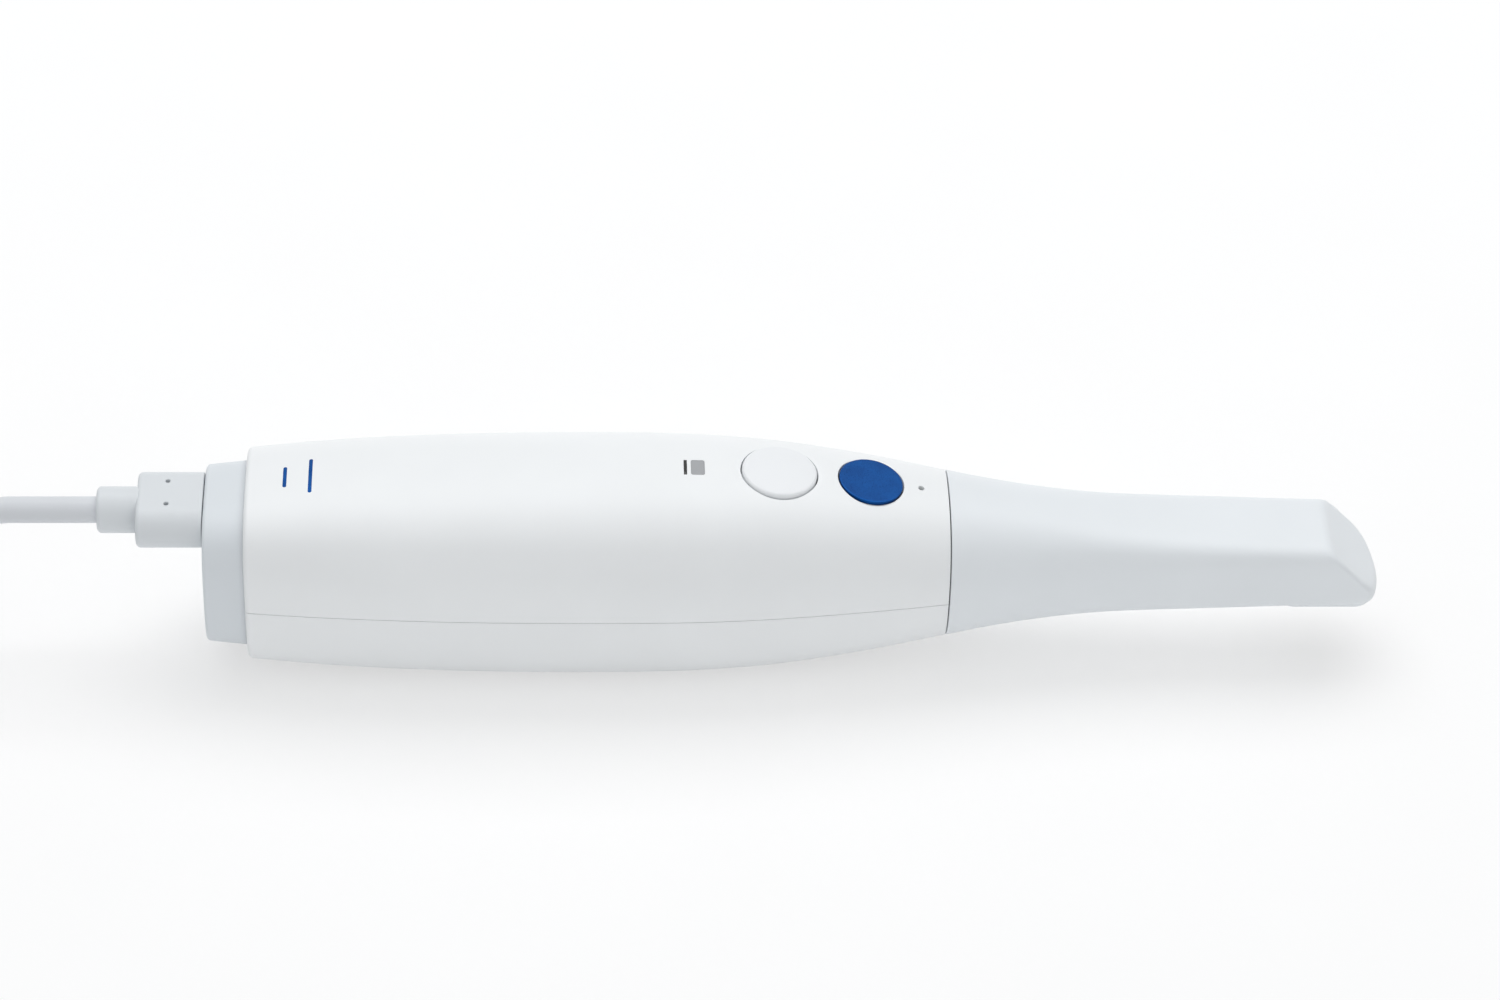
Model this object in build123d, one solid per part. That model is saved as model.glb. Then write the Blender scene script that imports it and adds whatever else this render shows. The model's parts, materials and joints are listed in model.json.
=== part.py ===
from build123d import *
import os
from math import atan, copysign, cos, degrees, pi, radians, sin, tan

# Handheld dental scanner: a two-shell handle with two keys on its crown, a nose that
# carries a slip-on mirror sleeve, and a cable that plugs into the rear cap.
# Frame: X runs from the rear cap to the tip, Y across, Z up from the belly.
# A station is the distance in mm from the rear cap's back face, along X.

# Outer form
cap_length = 8.7
handle_length = 146.8
seam_gap = 0.25
sleeve_length = 92.25
handle_width = 44.0
handle_height = 47.4
head_width = 20.0
head_height = 15.5
section_points = 24
round_steps = 3

# Handle sections: station, width and height as shares of the handle, then squareness
handle_shares = (
    (0.000, 0.855, 0.852, 3.20),
    (0.070, 0.898, 0.892, 3.12),
    (0.145, 0.934, 0.930, 3.03),
    (0.254, 0.972, 0.962, 2.95),
    (0.377, 0.994, 0.990, 2.86),
    (0.500, 1.000, 1.000, 2.80),
    (0.608, 0.993, 0.999, 2.75),
    (0.685, 0.972, 0.983, 2.70),
    (0.756, 0.937, 0.952, 2.65),
    (0.822, 0.892, 0.905, 2.58),
    (0.888, 0.840, 0.842, 2.52),
    (0.946, 0.789, 0.773, 2.46),
    (1.000, 0.737, 0.705, 2.40),
)
# Sleeve sections: station share, shares of the way from head size to seam size, squareness
sleeve_shares = (
    (0.000, 1.000, 1.000, 2.40),
    (0.068, 0.835, 0.862, 2.38),
    (0.133, 0.661, 0.742, 2.42),
    (0.198, 0.492, 0.622, 2.55),
    (0.263, 0.347, 0.502, 2.80),
    (0.328, 0.240, 0.390, 3.15),
    (0.415, 0.165, 0.287, 3.60),
    (0.534, 0.113, 0.190, 4.30),
    (0.675, 0.073, 0.105, 5.00),
    (0.827, 0.032, 0.038, 5.50),
    (1.000, 0.000, 0.000, 5.80),
)
scan_key_row = 8
confirm_key_row = 10

# Shells
shell_wall = 2.0
rim_radius = 1.1
parting_drop = 0.4
lip_height = 1.4
lip_clearance = 0.1
cut_overrun = 3.0
seat_clearance = 0.1

# Tip sleeve
sleeve_wall = 1.4
end_slope = 54.0
end_lip = 2.2
end_corner_radius = 6.0
end_edge_radius = 1.2
roof_row = 7
roof_stand = 0.5
window_length = 17.5
window_width = 14.0
window_corner_radius = 2.5
window_end_margin = 3.0
rim_width = 1.5
rim_stand = 0.35
rim_root = 0.8
mirror_thickness = 0.8
mirror_side_gap = 1.5
mirror_low_gap = 3.0
mirror_high_gap = 2.0
mirror_seat_gap = 0.05

# Nose
nose_length = 47.0
nose_clearance = 0.6
barrel_wall = 1.3
flange_length = 6.0
nose_window_thickness = 1.5
nose_window_gap = 0.05
seal_station = 4.5
seal_length = 1.6
seal_depth = 0.5
seal_running_gap = 0.25

# Rear cap
cap_rear_width = 31.4
cap_rear_height = 33.8
cap_front_width = 32.8
cap_front_height = 35.2
cap_squareness = 3.2
cap_wall = 2.0
cap_edge_radius = 0.9
cap_neck_length = 5.0
cap_flange_length = 2.5
cap_post_radius = 1.6
cap_post_spacing = 15.0
cap_post_drop = 3.4
rear_board_station = 7.2
rear_board_thickness = 1.2
rear_board_width = 19.0
rear_board_height = 9.0
rear_board_drop = 3.4

# Rear plug, its tongue and its socket
plug_rise = 11.9
plug_length = 13.8
plug_width = 19.0
plug_height = 9.7
plug_edge_radius = 1.0
plug_gap = 0.15
plug_hole_radius = 0.5
plug_hole_depth = 1.5
plug_hole_spacing = 7.2
plug_hole_setback = 7.6
tongue_width = 8.3
tongue_height = 2.4
tongue_reach = 6.3
tongue_clearance = 0.25
tongue_wall = 0.35
socket_wall = 0.7
socket_start = 2.3
cap_hole_clearance = 0.5
relief_radius = 4.9
relief_length = 8.35
relief_edge_radius = 1.0

# Keys
scan_hole_radius = 8.2
confirm_hole_radius = 7.1
key_side_gap = 0.3
scan_key_stand = 0.9
scan_key_crown = 0.7
key_edge_radius = 0.7
disc_edge_radius = 0.15
key_skirt = 4.0
key_roof = 1.4
collar_wall = 1.3
collar_depth = 4.2
disc_thickness = 0.8
stem_radius = 1.6
dish_radius = 10.2
dish_depth = 0.35
board_depth = 9.6
board_thickness = 1.2
board_width = 14.0
board_overhang = 8.5
switch_size = 6.0
switch_height = 3.0
switch_seat_gap = 0.2
plunger_radius = 1.5
plunger_length = 1.6
plunger_clearance = 0.2
plunger_stand = 0.9
board_post_radius = 2.0
pinhole_radius = 0.65
pinhole_depth = 1.2
pinhole_setback = 5.7

# Status slot and badge, behind the scan key
status_setback = 19.7
status_length = 0.7
status_width = 4.7
badge_setback = 17.1
badge_length = 2.9
badge_width = 4.7
badge_corner_radius = 0.5
badge_depth = 0.3
inlay_clearance = 0.03
inlay_sink = 0.03

# Main board, heat sink and screws
main_board_start = 26.0
main_board_length = 68.0
main_board_width = 30.0
main_board_thickness = 1.6
main_board_drop = 6.0
post_inset = 3.0
post_radius = 2.2
screw_radius = 0.9
screw_length = 6.0
screw_head_radius = 1.8
screw_head_height = 1.2
screw_clearance = 0.06
chip_size = 14.0
chip_thickness = 1.2
small_chip_size = 6.0
sink_length = 38.0
sink_width = 24.0
sink_base = 1.8
fin_height = 6.0
fin_thickness = 0.8
fin_count = 9
lamp_radius = 3.0
lamp_height = 2.4

# Optics frame, cameras and projector
frame_gap = 4.0
frame_end = 140.0
frame_width = 28.0
frame_wall = 1.5
frame_drop = 6.5
frame_side_height = 9.0
frame_tongue_width = 16.0
camera_board_thickness = 1.4
camera_board_width = 24.4
camera_board_height = 12.0
camera_length = 11.0
camera_width = 7.0
camera_height = 8.0
camera_spacing = 17.0
camera_lens_radius = 3.2
camera_lens_length = 6.0
projector_length = 18.0
projector_width = 9.0
projector_height = 10.0
projector_lens_radius = 3.8
projector_lens_length = 7.0
optic_glass_share = 0.82
optic_glass_length = 1.0

# Fan
fan_station = 14.5
fan_size = 20.0
fan_depth = 7.0
fan_drop = 7.0
fan_wall = 1.0
fan_tip_clearance = 0.5
fan_spider_thickness = 1.2
fan_spider_width = 1.6
fan_hub_radius = 4.0
fan_hub_gap = 0.4
fan_pin_radius = 0.8
fan_pin_clearance = 0.04
fan_blade_count = 7
fan_arm_count = 3
fan_blade_thickness = 0.7
fan_blade_pitch = 35.0
blade_chord_share = 0.8

# Ribbons
ribbon_width = 8.0
ribbon_thickness = 0.3
ribbon_bend_radius = 2.0
rear_ribbon_rise = 5.0
camera_ribbon_rise = 2.0
ribbon_landing = 4.0

# Cable: section, hank, tie and far plug
cord_diameter = 5.6
hank_pitch = 5.8
hank_columns = 2
hank_layers = 3
hank_fold_radius = 19.7
hank_run = 98.0
hank_front_x = -180.6
hank_corner_radius = 2.4
tie_thickness = 0.7
tie_clearance = 0.1
tie_width = 14.0
far_plug_length = 22.0
far_plug_width = 15.5
far_plug_height = 7.8
far_plug_edge_radius = 1.2
far_relief_length = 14.0
far_relief_radius = 3.4
far_shell_length = 18.0
far_shell_width = 12.0
far_shell_height = 4.5
far_shell_wall = 0.4
corner_share = 0.45

# Route of the cord, chosen by hand: from the strain relief to the hank, then on to the far plug
cord_route = (
    (-146.35, 0.0, 35.6),
    (-178.0, 0.0, 35.6),
    (-216.0, -16.8, 15.0),
    (-242.0, -16.8, 15.0),
)
tail_route = (
    (-290.0, -22.0, 3.9),
    (-315.0, -22.0, 3.9),
    (-329.0, -17.0, 3.9),
    (-342.0, -17.0, 3.9),
)

# Worked out from the sizes above
overall_length = cap_length + handle_length + seam_gap + sleeve_length
axis_height = handle_height / 2
seam_station = cap_length + handle_length
sleeve_station = seam_station + seam_gap
seam_width = handle_width * handle_shares[-1][1]
seam_height = handle_height * handle_shares[-1][2]
fan_rotor_radius = fan_size / 2 - fan_wall - fan_tip_clearance
frame_start = main_board_start + main_board_length + frame_gap
frame_length = frame_end - frame_start
hank_strip = (hank_columns - 1) * hank_pitch + cord_diameter
hank_height = hank_layers * (cord_diameter + tie_clearance)
hank_base = tie_thickness + tie_clearance
hank_centre_x = hank_front_x - hank_fold_radius - hank_strip / 2 - hank_run / 2

os.makedirs("parts", exist_ok=True)


def along(station):
    """X of a station."""
    return station - overall_length / 2


def lame(value, squareness):
    """One coordinate of a Lame curve, from a sine or cosine."""
    return copysign(abs(value) ** (2 / squareness), value)


def section(station, width, height, squareness):
    """Closed rounded section that stands across the length, starting on the belly."""
    points = []
    for step in range(section_points):
        angle = 2 * pi * step / section_points - pi / 2
        across = width / 2 * lame(cos(angle), squareness)
        up = height / 2 * lame(sin(angle), squareness)
        points.append((along(station), across, axis_height + up))
    return make_face(Spline(*points, periodic=True))


def handle_section(row, inset):
    """Station and sizes of one handle section, drawn in by an inset."""
    share, width_share, height_share, squareness = row
    station = cap_length + rim_radius + share * (handle_length - rim_radius)
    width = handle_width * width_share - 2 * inset
    height = handle_height * height_share - 2 * inset
    return station, width, height, squareness


def sleeve_section(row, inset):
    """Station and sizes of one sleeve section, drawn in by an inset."""
    share, width_share, height_share, squareness = row
    station = sleeve_station + share * sleeve_length
    width = head_width + (seam_width - head_width) * width_share - 2 * inset
    height = head_height + (seam_height - head_height) * height_share - 2 * inset
    return station, width, height, squareness


def form(sections, before, after, ruled=False):
    """Loft through sections, carried straight on by the given lengths at its two ends."""
    faces = [section(*sizes) for sizes in sections]
    if before:
        station, width, height, squareness = sections[0]
        faces.insert(0, section(station - before, width, height, squareness))
    if after:
        station, width, height, squareness = sections[-1]
        faces.append(section(station + after, width, height, squareness))
    return loft(faces, ruled=ruled)


def quarter_round(sizes, radius):
    """Rounded rear edge that runs back from a section by its radius."""
    station, width, height, squareness = sizes
    faces = []
    for step in range(round_steps + 1):
        angle = pi / 2 * step / round_steps
        inset = radius * (1 - sin(angle))
        place = station - radius * cos(angle)
        faces.append(section(place, width - 2 * inset, height - 2 * inset, squareness))
    return loft(faces)


def handle_form(inset, before=0, after=0):
    """The handle's outline, drawn in by an inset."""
    return form([handle_section(row, inset) for row in handle_shares], before, after)


def sleeve_form(inset, before=0, after=0):
    """The sleeve's outline, drawn in by an inset."""
    return form([sleeve_section(row, inset) for row in sleeve_shares], before, after)


def slab(start, end, low=None, high=None):
    """Block across the whole section between two stations and two heights above the axis."""
    bottom = -handle_height if low is None else low
    top = handle_height if high is None else high
    middle = axis_height + (bottom + top) / 2
    block = Box(end - start, 2 * handle_width, top - bottom)
    return Pos(along((start + end) / 2), 0, middle) * block


def block(start, length, width, low, height, across=0):
    """Plain block from its start station, low face above the axis and sizes."""
    solid = Box(length, width, height)
    return Pos(along(start + length / 2), across, axis_height + low + height / 2) * solid


def rod(start, length, radius, across=0, rise=0):
    """Round bar along X."""
    solid = Rot(0, 90, 0) * Cylinder(radius, length)
    return Pos(along(start + length / 2), across, axis_height + rise) * solid


def stadium(start, length, width, height, rise):
    """Bar along X with a stadium section."""
    outline = SlotOverall(width, height) if width > height else Circle(height / 2)
    bar = extrude(Plane.YZ * outline, length)
    return Pos(along(start), 0, axis_height + rise) * bar


def sleeve_height_at(station):
    """Full height of the sleeve at any of its stations."""
    heights = [sleeve_section(row, 0) for row in sleeve_shares]
    for before, after in zip(heights, heights[1:]):
        if station <= after[0]:
            share = (station - before[0]) / (after[0] - before[0])
            return before[2] + share * (after[2] - before[2])
    return heights[-1][2]


def crown_height(row):
    """Height of the handle's crown above the axis at one of its sections."""
    return handle_height / 2 * handle_shares[row][2]


def crown_station(row):
    """Station of one of the handle's sections."""
    return handle_section(handle_shares[row], 0)[0]


def crown_tilt(row):
    """Slope of the crown at one of the handle's sections, in degrees, falling to the tip."""
    fall = crown_height(row - 1) - crown_height(row + 1)
    return degrees(atan(fall / (crown_station(row + 1) - crown_station(row - 1))))


def crown_at(station):
    """Height of the crown above the axis at any station of the handle."""
    for row in range(1, len(handle_shares)):
        if station <= crown_station(row) or row == len(handle_shares) - 1:
            run = crown_station(row) - crown_station(row - 1)
            share = (station - crown_station(row - 1)) / run
            return crown_height(row - 1) + share * (crown_height(row) - crown_height(row - 1))


def tilted_plane(station, height, tilt):
    """Plane across the crown whose Z leans toward the tip by the tilt."""
    lean = radians(tilt)
    return Plane(
        origin=(along(station), 0, axis_height + height),
        x_dir=(cos(lean), 0, -sin(lean)),
        z_dir=(sin(lean), 0, cos(lean)),
    )


def key_plane(row):
    """Plane that touches the crown at a key's centre."""
    return tilted_plane(crown_station(row), crown_height(row), crown_tilt(row))


def down(plane, solid, depth, height):
    """Solid of the given height set on a plane so that its low face lies at a depth."""
    return plane * (Pos(0, 0, height / 2 - depth) * solid)


def disc(plane, radius, depth, height):
    """Round disc whose low face lies at a depth under a plane."""
    return down(plane, Cylinder(radius, height), depth, height)


def board_plane():
    """Plane of the key board's upper face, midway between the keys."""
    rear = key_plane(scan_key_row)
    front = key_plane(confirm_key_row)
    middle = (rear.origin + front.origin) * 0.5
    tilt = (crown_tilt(scan_key_row) + crown_tilt(confirm_key_row)) / 2
    plane = tilted_plane(middle.X + overall_length / 2, middle.Z - axis_height, tilt)
    return plane.offset(-board_depth)


def board_length():
    """Length of the key board, past both keys by an overhang."""
    apart = crown_station(confirm_key_row) - crown_station(scan_key_row)
    return apart + 2 * board_overhang


def lower_post(station, across, top):
    """Round post from below the belly up to a height above the axis."""
    low = -handle_height / 2
    column = Cylinder(post_radius, top - low)
    return Pos(along(station), across, axis_height + (low + top) / 2) * column


def main_board_corners():
    """Stations and places across of the main board's four screws."""
    first = main_board_start + post_inset
    last = main_board_start + main_board_length - post_inset
    side = main_board_width / 2 - post_inset
    return [(station, across) for station in (first, last) for across in (-side, side)]


def frame_corners():
    """Stations and places across of the optics frame's four screws."""
    first = frame_start + 2 * post_inset + projector_length
    last = frame_end - post_inset
    side = frame_width / 2 - frame_wall - post_inset
    return [(station, across) for station in (first, last) for across in (-side, side)]


def screw_hole(station, across, top):
    """Pilot hole for one screw, open at its top."""
    radius = screw_radius + screw_clearance
    depth = screw_length + main_board_thickness
    hole = Cylinder(radius, depth + cut_overrun)
    return Pos(along(station), across, axis_height + top - (depth - cut_overrun) / 2) * hole


def upper_shell(outer, hollow):
    """Upper half of the handle, with key holes, collars, status slot, badge seat and pinhole."""
    groove_roof = lip_height + lip_clearance - parting_drop
    groove = handle_form(shell_wall / 2 - lip_clearance, cut_overrun, cut_overrun)
    groove &= slab(-cut_overrun, overall_length, -parting_drop, groove_roof)
    shell = (outer - hollow) & slab(-cut_overrun, overall_length, -parting_drop)
    holes = ((scan_key_row, scan_hole_radius), (confirm_key_row, confirm_hole_radius))
    added = [
        disc(key_plane(row), radius + collar_wall, collar_depth, collar_depth) for row, radius in holes
    ]
    reach = board_length() / 2 - board_post_radius
    post = Cylinder(board_post_radius, board_depth)
    added += [board_plane() * (Pos(side * reach, 0, board_depth / 2) * post) for side in (-1, 1)]
    cuts = [disc(key_plane(row), radius, 2 * collar_depth, 4 * collar_depth) for row, radius in holes]
    scan_dish = Cone(dish_radius - 4 * dish_depth, dish_radius, 2 * dish_depth)
    cuts.append(down(key_plane(scan_key_row), scan_dish, dish_depth, 2 * dish_depth))
    cuts += [status_slot(0, cut_overrun), badge(0, cut_overrun), pinhole()]
    return shell + ((Part() + added) & outer) - [groove] - cuts


def pinhole():
    """Blind pinhole ahead of the confirm key."""
    station = seam_station - pinhole_setback
    plane = tilted_plane(station, crown_at(station), crown_tilt(confirm_key_row + 1))
    return disc(plane, pinhole_radius, pinhole_depth, 2 * pinhole_depth)


def status_slot(clearance, stand):
    """Light guide of the status slot, through the wall, or its cut."""
    station = crown_station(scan_key_row) - status_setback
    height = 2 * shell_wall + stand
    guide = Box(status_length - 2 * clearance, status_width - 2 * clearance, height)
    plane = tilted_plane(station, crown_at(station), 0)
    return down(plane, guide, 2 * shell_wall, height)


def badge(clearance, stand):
    """Rounded plate of the badge, or its shallow seat."""
    station = crown_station(scan_key_row) - badge_setback
    plane = tilted_plane(station, crown_at(station), crown_tilt(scan_key_row - 2))
    outline = RectangleRounded(
        badge_length - 2 * clearance, badge_width - 2 * clearance, badge_corner_radius
    )
    plate = extrude(outline, badge_depth + stand)
    return plane * (Pos(0, 0, -badge_depth) * plate)


def lower_shell(outer, hollow):
    """Lower half of the handle, with its lip and the posts for the boards and the fan."""
    lip = handle_form(shell_wall / 2 + lip_clearance) - hollow
    lip &= slab(-cut_overrun, seam_station, -parting_drop, lip_height - parting_drop)
    shell = (outer - hollow) & slab(-cut_overrun, overall_length, None, -parting_drop)
    seats = [(corner, -main_board_drop) for corner in main_board_corners()]
    seats += [(corner, -frame_drop) for corner in frame_corners()]
    added = [lower_post(*corner, top) for corner, top in seats]
    cradle_height = handle_height / 2 - fan_drop - fan_size / 2
    added.append(block(fan_station, fan_depth, fan_size / 2, -handle_height / 2, cradle_height))
    return shell + lip + ((Part() + added) & outer) - [screw_hole(*corner, top) for corner, top in seats]


def cap_form(inset, after=0):
    """The cap's tapered outline with its straight neck, drawn in by an inset."""
    front_width = cap_front_width - 2 * inset
    front_height = cap_front_height - 2 * inset
    sections = (
        cap_rear(inset),
        (cap_length, front_width, front_height, cap_squareness),
        (cap_length + cap_neck_length, front_width, front_height, cap_squareness),
    )
    return form(sections, 0, after, ruled=True)


def cap_rear(inset):
    """Station and sizes of the cap's section at the front of its rounded rear edge."""
    return cap_edge_radius, cap_rear_width - 2 * inset, cap_rear_height - 2 * inset, cap_squareness


def rear_cap():
    """Tapered cap with a neck and flange inside the shells, posts and the plug's hole."""
    neck_end = cap_length + cap_neck_length
    outer = cap_form(0) + quarter_round(cap_rear(0), cap_edge_radius)
    flange = handle_form(shell_wall + seat_clearance, cut_overrun, cut_overrun)
    flange &= slab(neck_end - cap_flange_length, neck_end)
    hollow = cap_form(cap_wall, cut_overrun) & slab(cap_wall, neck_end + cut_overrun)
    post_length = rear_board_station - cap_wall / 2
    rise = plug_rise - cap_post_drop
    spots = (-cap_post_spacing / 2, cap_post_spacing / 2)
    posts = [rod(cap_wall / 2, post_length, cap_post_radius, across, rise) for across in spots]
    hole_width = tongue_width + 2 * cap_hole_clearance
    hole_height = tongue_height + 2 * cap_hole_clearance
    hole = stadium(-cap_wall, 3 * cap_wall, hole_width, hole_height, plug_rise)
    return outer + flange - [hollow] + posts - [hole]


def rear_board():
    """Small upright board that carries the rear socket."""
    low = plug_rise - rear_board_drop - rear_board_height / 2
    return block(rear_board_station, rear_board_thickness, rear_board_width, low, rear_board_height)


def rear_socket():
    """Socket sleeve round the plug's tongue, closed by a wall at the board."""
    length = rear_board_station - socket_start
    inner_width = tongue_width + 2 * tongue_clearance
    inner_height = tongue_height + 2 * tongue_clearance
    outer_width = inner_width + 2 * socket_wall
    outer_height = inner_height + 2 * socket_wall
    outer = stadium(socket_start, length, outer_width, outer_height, plug_rise)
    depth = tongue_reach + tongue_clearance - socket_start
    cut = stadium(socket_start - cut_overrun, depth + cut_overrun, inner_width, inner_height, plug_rise)
    return outer - cut


def rear_plug():
    """Moulded plug block with rounded edges and two blind holes in its upper face."""
    start = -plug_gap - plug_length
    plug = stadium(start, plug_length, plug_width, plug_height, plug_rise)
    plug = fillet(plug.edges().group_by(Axis.X)[0], plug_edge_radius)
    top = axis_height + plug_rise + plug_height / 2
    for side in (-1, 1):
        hole = Cylinder(plug_hole_radius, 2 * plug_hole_depth)
        plug -= Pos(along(-plug_hole_setback), side * plug_hole_spacing / 2, top) * hole
    return plug


def rear_plug_tongue():
    """Pressed metal tongue of the plug, a thin stadium tube with a core."""
    length = tongue_reach + plug_gap
    shell = stadium(-plug_gap, length, tongue_width, tongue_height, plug_rise)
    inside_width = tongue_width - 2 * tongue_wall
    inside_height = tongue_height - 2 * tongue_wall
    mouth = stadium(tongue_reach / 2, tongue_reach, inside_width, inside_height, plug_rise)
    return shell - mouth


def strain_relief():
    """Short round collar between the plug block and the cord."""
    start = -plug_gap - plug_length - relief_length
    relief = rod(start, relief_length, relief_radius, 0, plug_rise)
    return fillet(relief.edges().group_by(Axis.X)[0], relief_edge_radius)


def end_point_height():
    """Height above the axis at which the end face turns into the slanted face."""
    return -head_height / 2 + end_lip


def slant_station(height, inset):
    """Station of the slanted face at a height above the axis, drawn in by an inset."""
    end = sleeve_station + sleeve_length
    run = (height - end_point_height()) / tan(radians(end_slope))
    return end - run - inset / sin(radians(end_slope))


def head_mask(inset):
    """Space behind the slanted and rounded end of the head, drawn in by an inset."""
    start = sleeve_station - 2 * cut_overrun - flange_length
    end = sleeve_station + sleeve_length - inset
    foot = -handle_height / 2
    knee = end_point_height() - (inset / sin(radians(end_slope)) - inset) * tan(radians(end_slope))
    ridge = sleeve_height_at(slant_station(head_height / 2, 0)) / 2 - inset
    roof = sleeve_station + sleeve_shares[roof_row][0] * sleeve_length
    roof_height = sleeve_height_at(roof) / 2 - inset + roof_stand
    corners = (
        (along(start), axis_height + foot),
        (along(end), axis_height + foot),
        (along(end), axis_height + knee),
        (along(slant_station(ridge, inset)), axis_height + ridge),
        (along(roof), axis_height + roof_height),
        (along(start), axis_height + handle_height),
    )
    outline = make_face(Polyline(*corners, close=True))
    ridge_place = (along(slant_station(ridge, inset)), axis_height + ridge)
    knee_place = (along(end), axis_height + knee)
    ridge_corner = outline.vertices().sort_by_distance(ridge_place)[0]
    knee_corner = outline.vertices().sort_by_distance(knee_place)[0]
    outline = fillet([ridge_corner, knee_corner], end_edge_radius)
    side = extrude(Plane.XZ * outline, handle_width, both=True)
    corner = end_corner_radius - inset
    length = end - start
    plan = RectangleRounded(2 * length, head_width - 2 * inset, corner)
    wide = Pos(-corner, 0) * Rectangle(2 * length, 2 * handle_width)
    height = 2 * handle_height
    column = extrude(Pos(along(end) - length, 0, axis_height - handle_height) * (plan + wide), height)
    return side & column


def tip_sleeve():
    """Slip-on sleeve with a slanted rounded end, a hollow and the window in its underside."""
    outer = sleeve_form(0) & head_mask(0)
    hollow = sleeve_form(sleeve_wall, cut_overrun) & head_mask(sleeve_wall)
    return outer + window_rim() - [hollow, window_cut()]


def window_centre():
    """Station of the window's centre."""
    return sleeve_station + sleeve_length - window_end_margin - window_length / 2


def window_block(length, width, corner, low, high):
    """Rounded upright block centred on the window between two heights above the axis."""
    outline = RectangleRounded(length, width, corner)
    solid = extrude(outline, high - low)
    return Pos(along(window_centre()), 0, axis_height + low) * solid


def window_cut():
    """Opening through the underside of the head."""
    high = -head_height / 2 + 2 * sleeve_wall
    low = -head_height / 2 - 2 * rim_stand
    return window_block(window_length, window_width, window_corner_radius, low, high)


def window_rim():
    """Low rim that stands round the window, with a level face."""
    length = window_length + 2 * rim_width
    width = window_width + 2 * rim_width
    corner = window_corner_radius + rim_width
    low = -head_height / 2 - rim_stand
    return window_block(length, width, corner, low, low + rim_stand + rim_root)


def tip_mirror():
    """Mirror plate bedded on the inner side of the slanted end."""
    low = -head_height / 2 + sleeve_wall + mirror_low_gap
    high = head_height / 2 - sleeve_wall - mirror_high_gap
    inset = sleeve_wall + mirror_seat_gap + mirror_thickness / 2
    middle = (low + high) / 2
    lean = radians(90 - end_slope)
    plane = Plane(
        origin=(along(slant_station(middle, inset)), 0, axis_height + middle),
        x_dir=(0, 1, 0),
        z_dir=(cos(lean), 0, sin(lean)),
    )
    width = head_width - 2 * (sleeve_wall + mirror_side_gap)
    height = (high - low) / sin(radians(end_slope))
    return plane * Box(width, height, mirror_thickness)


def nose_barrel():
    """Nose tube with its flange in the shells' front opening and the seal's groove."""
    inset = sleeve_wall + nose_clearance
    tube = sleeve_form(inset, flange_length) & slab(seam_station - seam_gap, seam_station + nose_length)
    flange = handle_form(shell_wall + seat_clearance, cut_overrun, cut_overrun)
    flange &= slab(seam_station - flange_length, seam_station)
    bore = sleeve_form(inset + barrel_wall, 2 * flange_length)
    return tube + flange - [bore, seal_ring(sleeve_wall)]


def seal_ring(inset):
    """Ring from the bottom of the seal's groove out to an inset of the sleeve's form."""
    start = seam_station + seal_station
    floor = sleeve_form(sleeve_wall + nose_clearance + seal_depth)
    return (sleeve_form(inset) & slab(start, start + seal_length)) - floor


def nose_seal():
    """Soft ring in the groove, just clear of the sleeve."""
    return seal_ring(sleeve_wall + seal_running_gap)


def nose_window():
    """Window glass in the mouth of the barrel."""
    inset = sleeve_wall + nose_clearance + barrel_wall + nose_window_gap
    end = seam_station + nose_length
    return sleeve_form(inset) & slab(end - nose_window_thickness, end)


def key_cap(row, radius, stand, crown, edge):
    """Hollow key cap with a skirt, a roof and a stem to its switch."""
    plane = key_plane(row)
    outside = radius - key_side_gap
    profile = Pos(outside / 2, (stand - key_skirt) / 2) * Rectangle(outside, key_skirt + stand)
    if crown:
        dome_radius = (outside**2 + crown**2) / (2 * crown)
        profile &= Pos(0, stand - dome_radius) * Circle(dome_radius)
    profile = fillet(profile.vertices().sort_by(Axis.X)[-2:].sort_by(Axis.Y)[-1], edge)
    bowl_top = stand - crown - key_roof
    profile -= Pos((outside - key_roof) / 2, (bowl_top - key_skirt - cut_overrun) / 2) * Rectangle(
        outside - key_roof, bowl_top + key_skirt + cut_overrun
    )
    cap = plane * revolve(Plane.XZ * profile, Axis.Z)
    stem_depth = board_depth - switch_height - plunger_stand
    return cap + disc(plane, stem_radius, stem_depth, stem_depth + bowl_top + key_roof / 2)


def scan_button():
    """Raised domed scan key."""
    return key_cap(scan_key_row, scan_hole_radius, scan_key_stand, scan_key_crown, key_edge_radius)


def confirm_carrier():
    """Carrier under the confirm key's disc."""
    radius = confirm_hole_radius
    return key_cap(confirm_key_row, radius, -disc_thickness, 0, disc_edge_radius)


def confirm_disc():
    """Flush disc of the confirm key."""
    solid = Cylinder(confirm_hole_radius - key_side_gap, disc_thickness)
    solid = fillet(solid.edges().group_by(Axis.Z)[-1], disc_edge_radius)
    return down(key_plane(confirm_key_row), solid, disc_thickness, disc_thickness)


def switch_body(row):
    """Square switch under a key, open at its centre for the plunger."""
    plane = key_plane(row)
    base = board_depth - switch_seat_gap
    body = down(plane, Box(switch_size, switch_size, switch_height), base, switch_height)
    hole_depth = plunger_length + plunger_clearance
    top = base - switch_height
    hole = disc(plane, plunger_radius + plunger_clearance, top + hole_depth, hole_depth + plunger_stand)
    return body - hole


def switch_plunger(row):
    """Plunger of a switch, which moves with its key."""
    stem_depth = board_depth - switch_height - plunger_stand
    return disc(key_plane(row), plunger_radius, stem_depth + plunger_length, plunger_length)


def key_board():
    """Board that carries the two key switches."""
    board = Box(board_length(), board_width, board_thickness)
    return board_plane() * (Pos(0, 0, -board_thickness / 2) * board)


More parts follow.
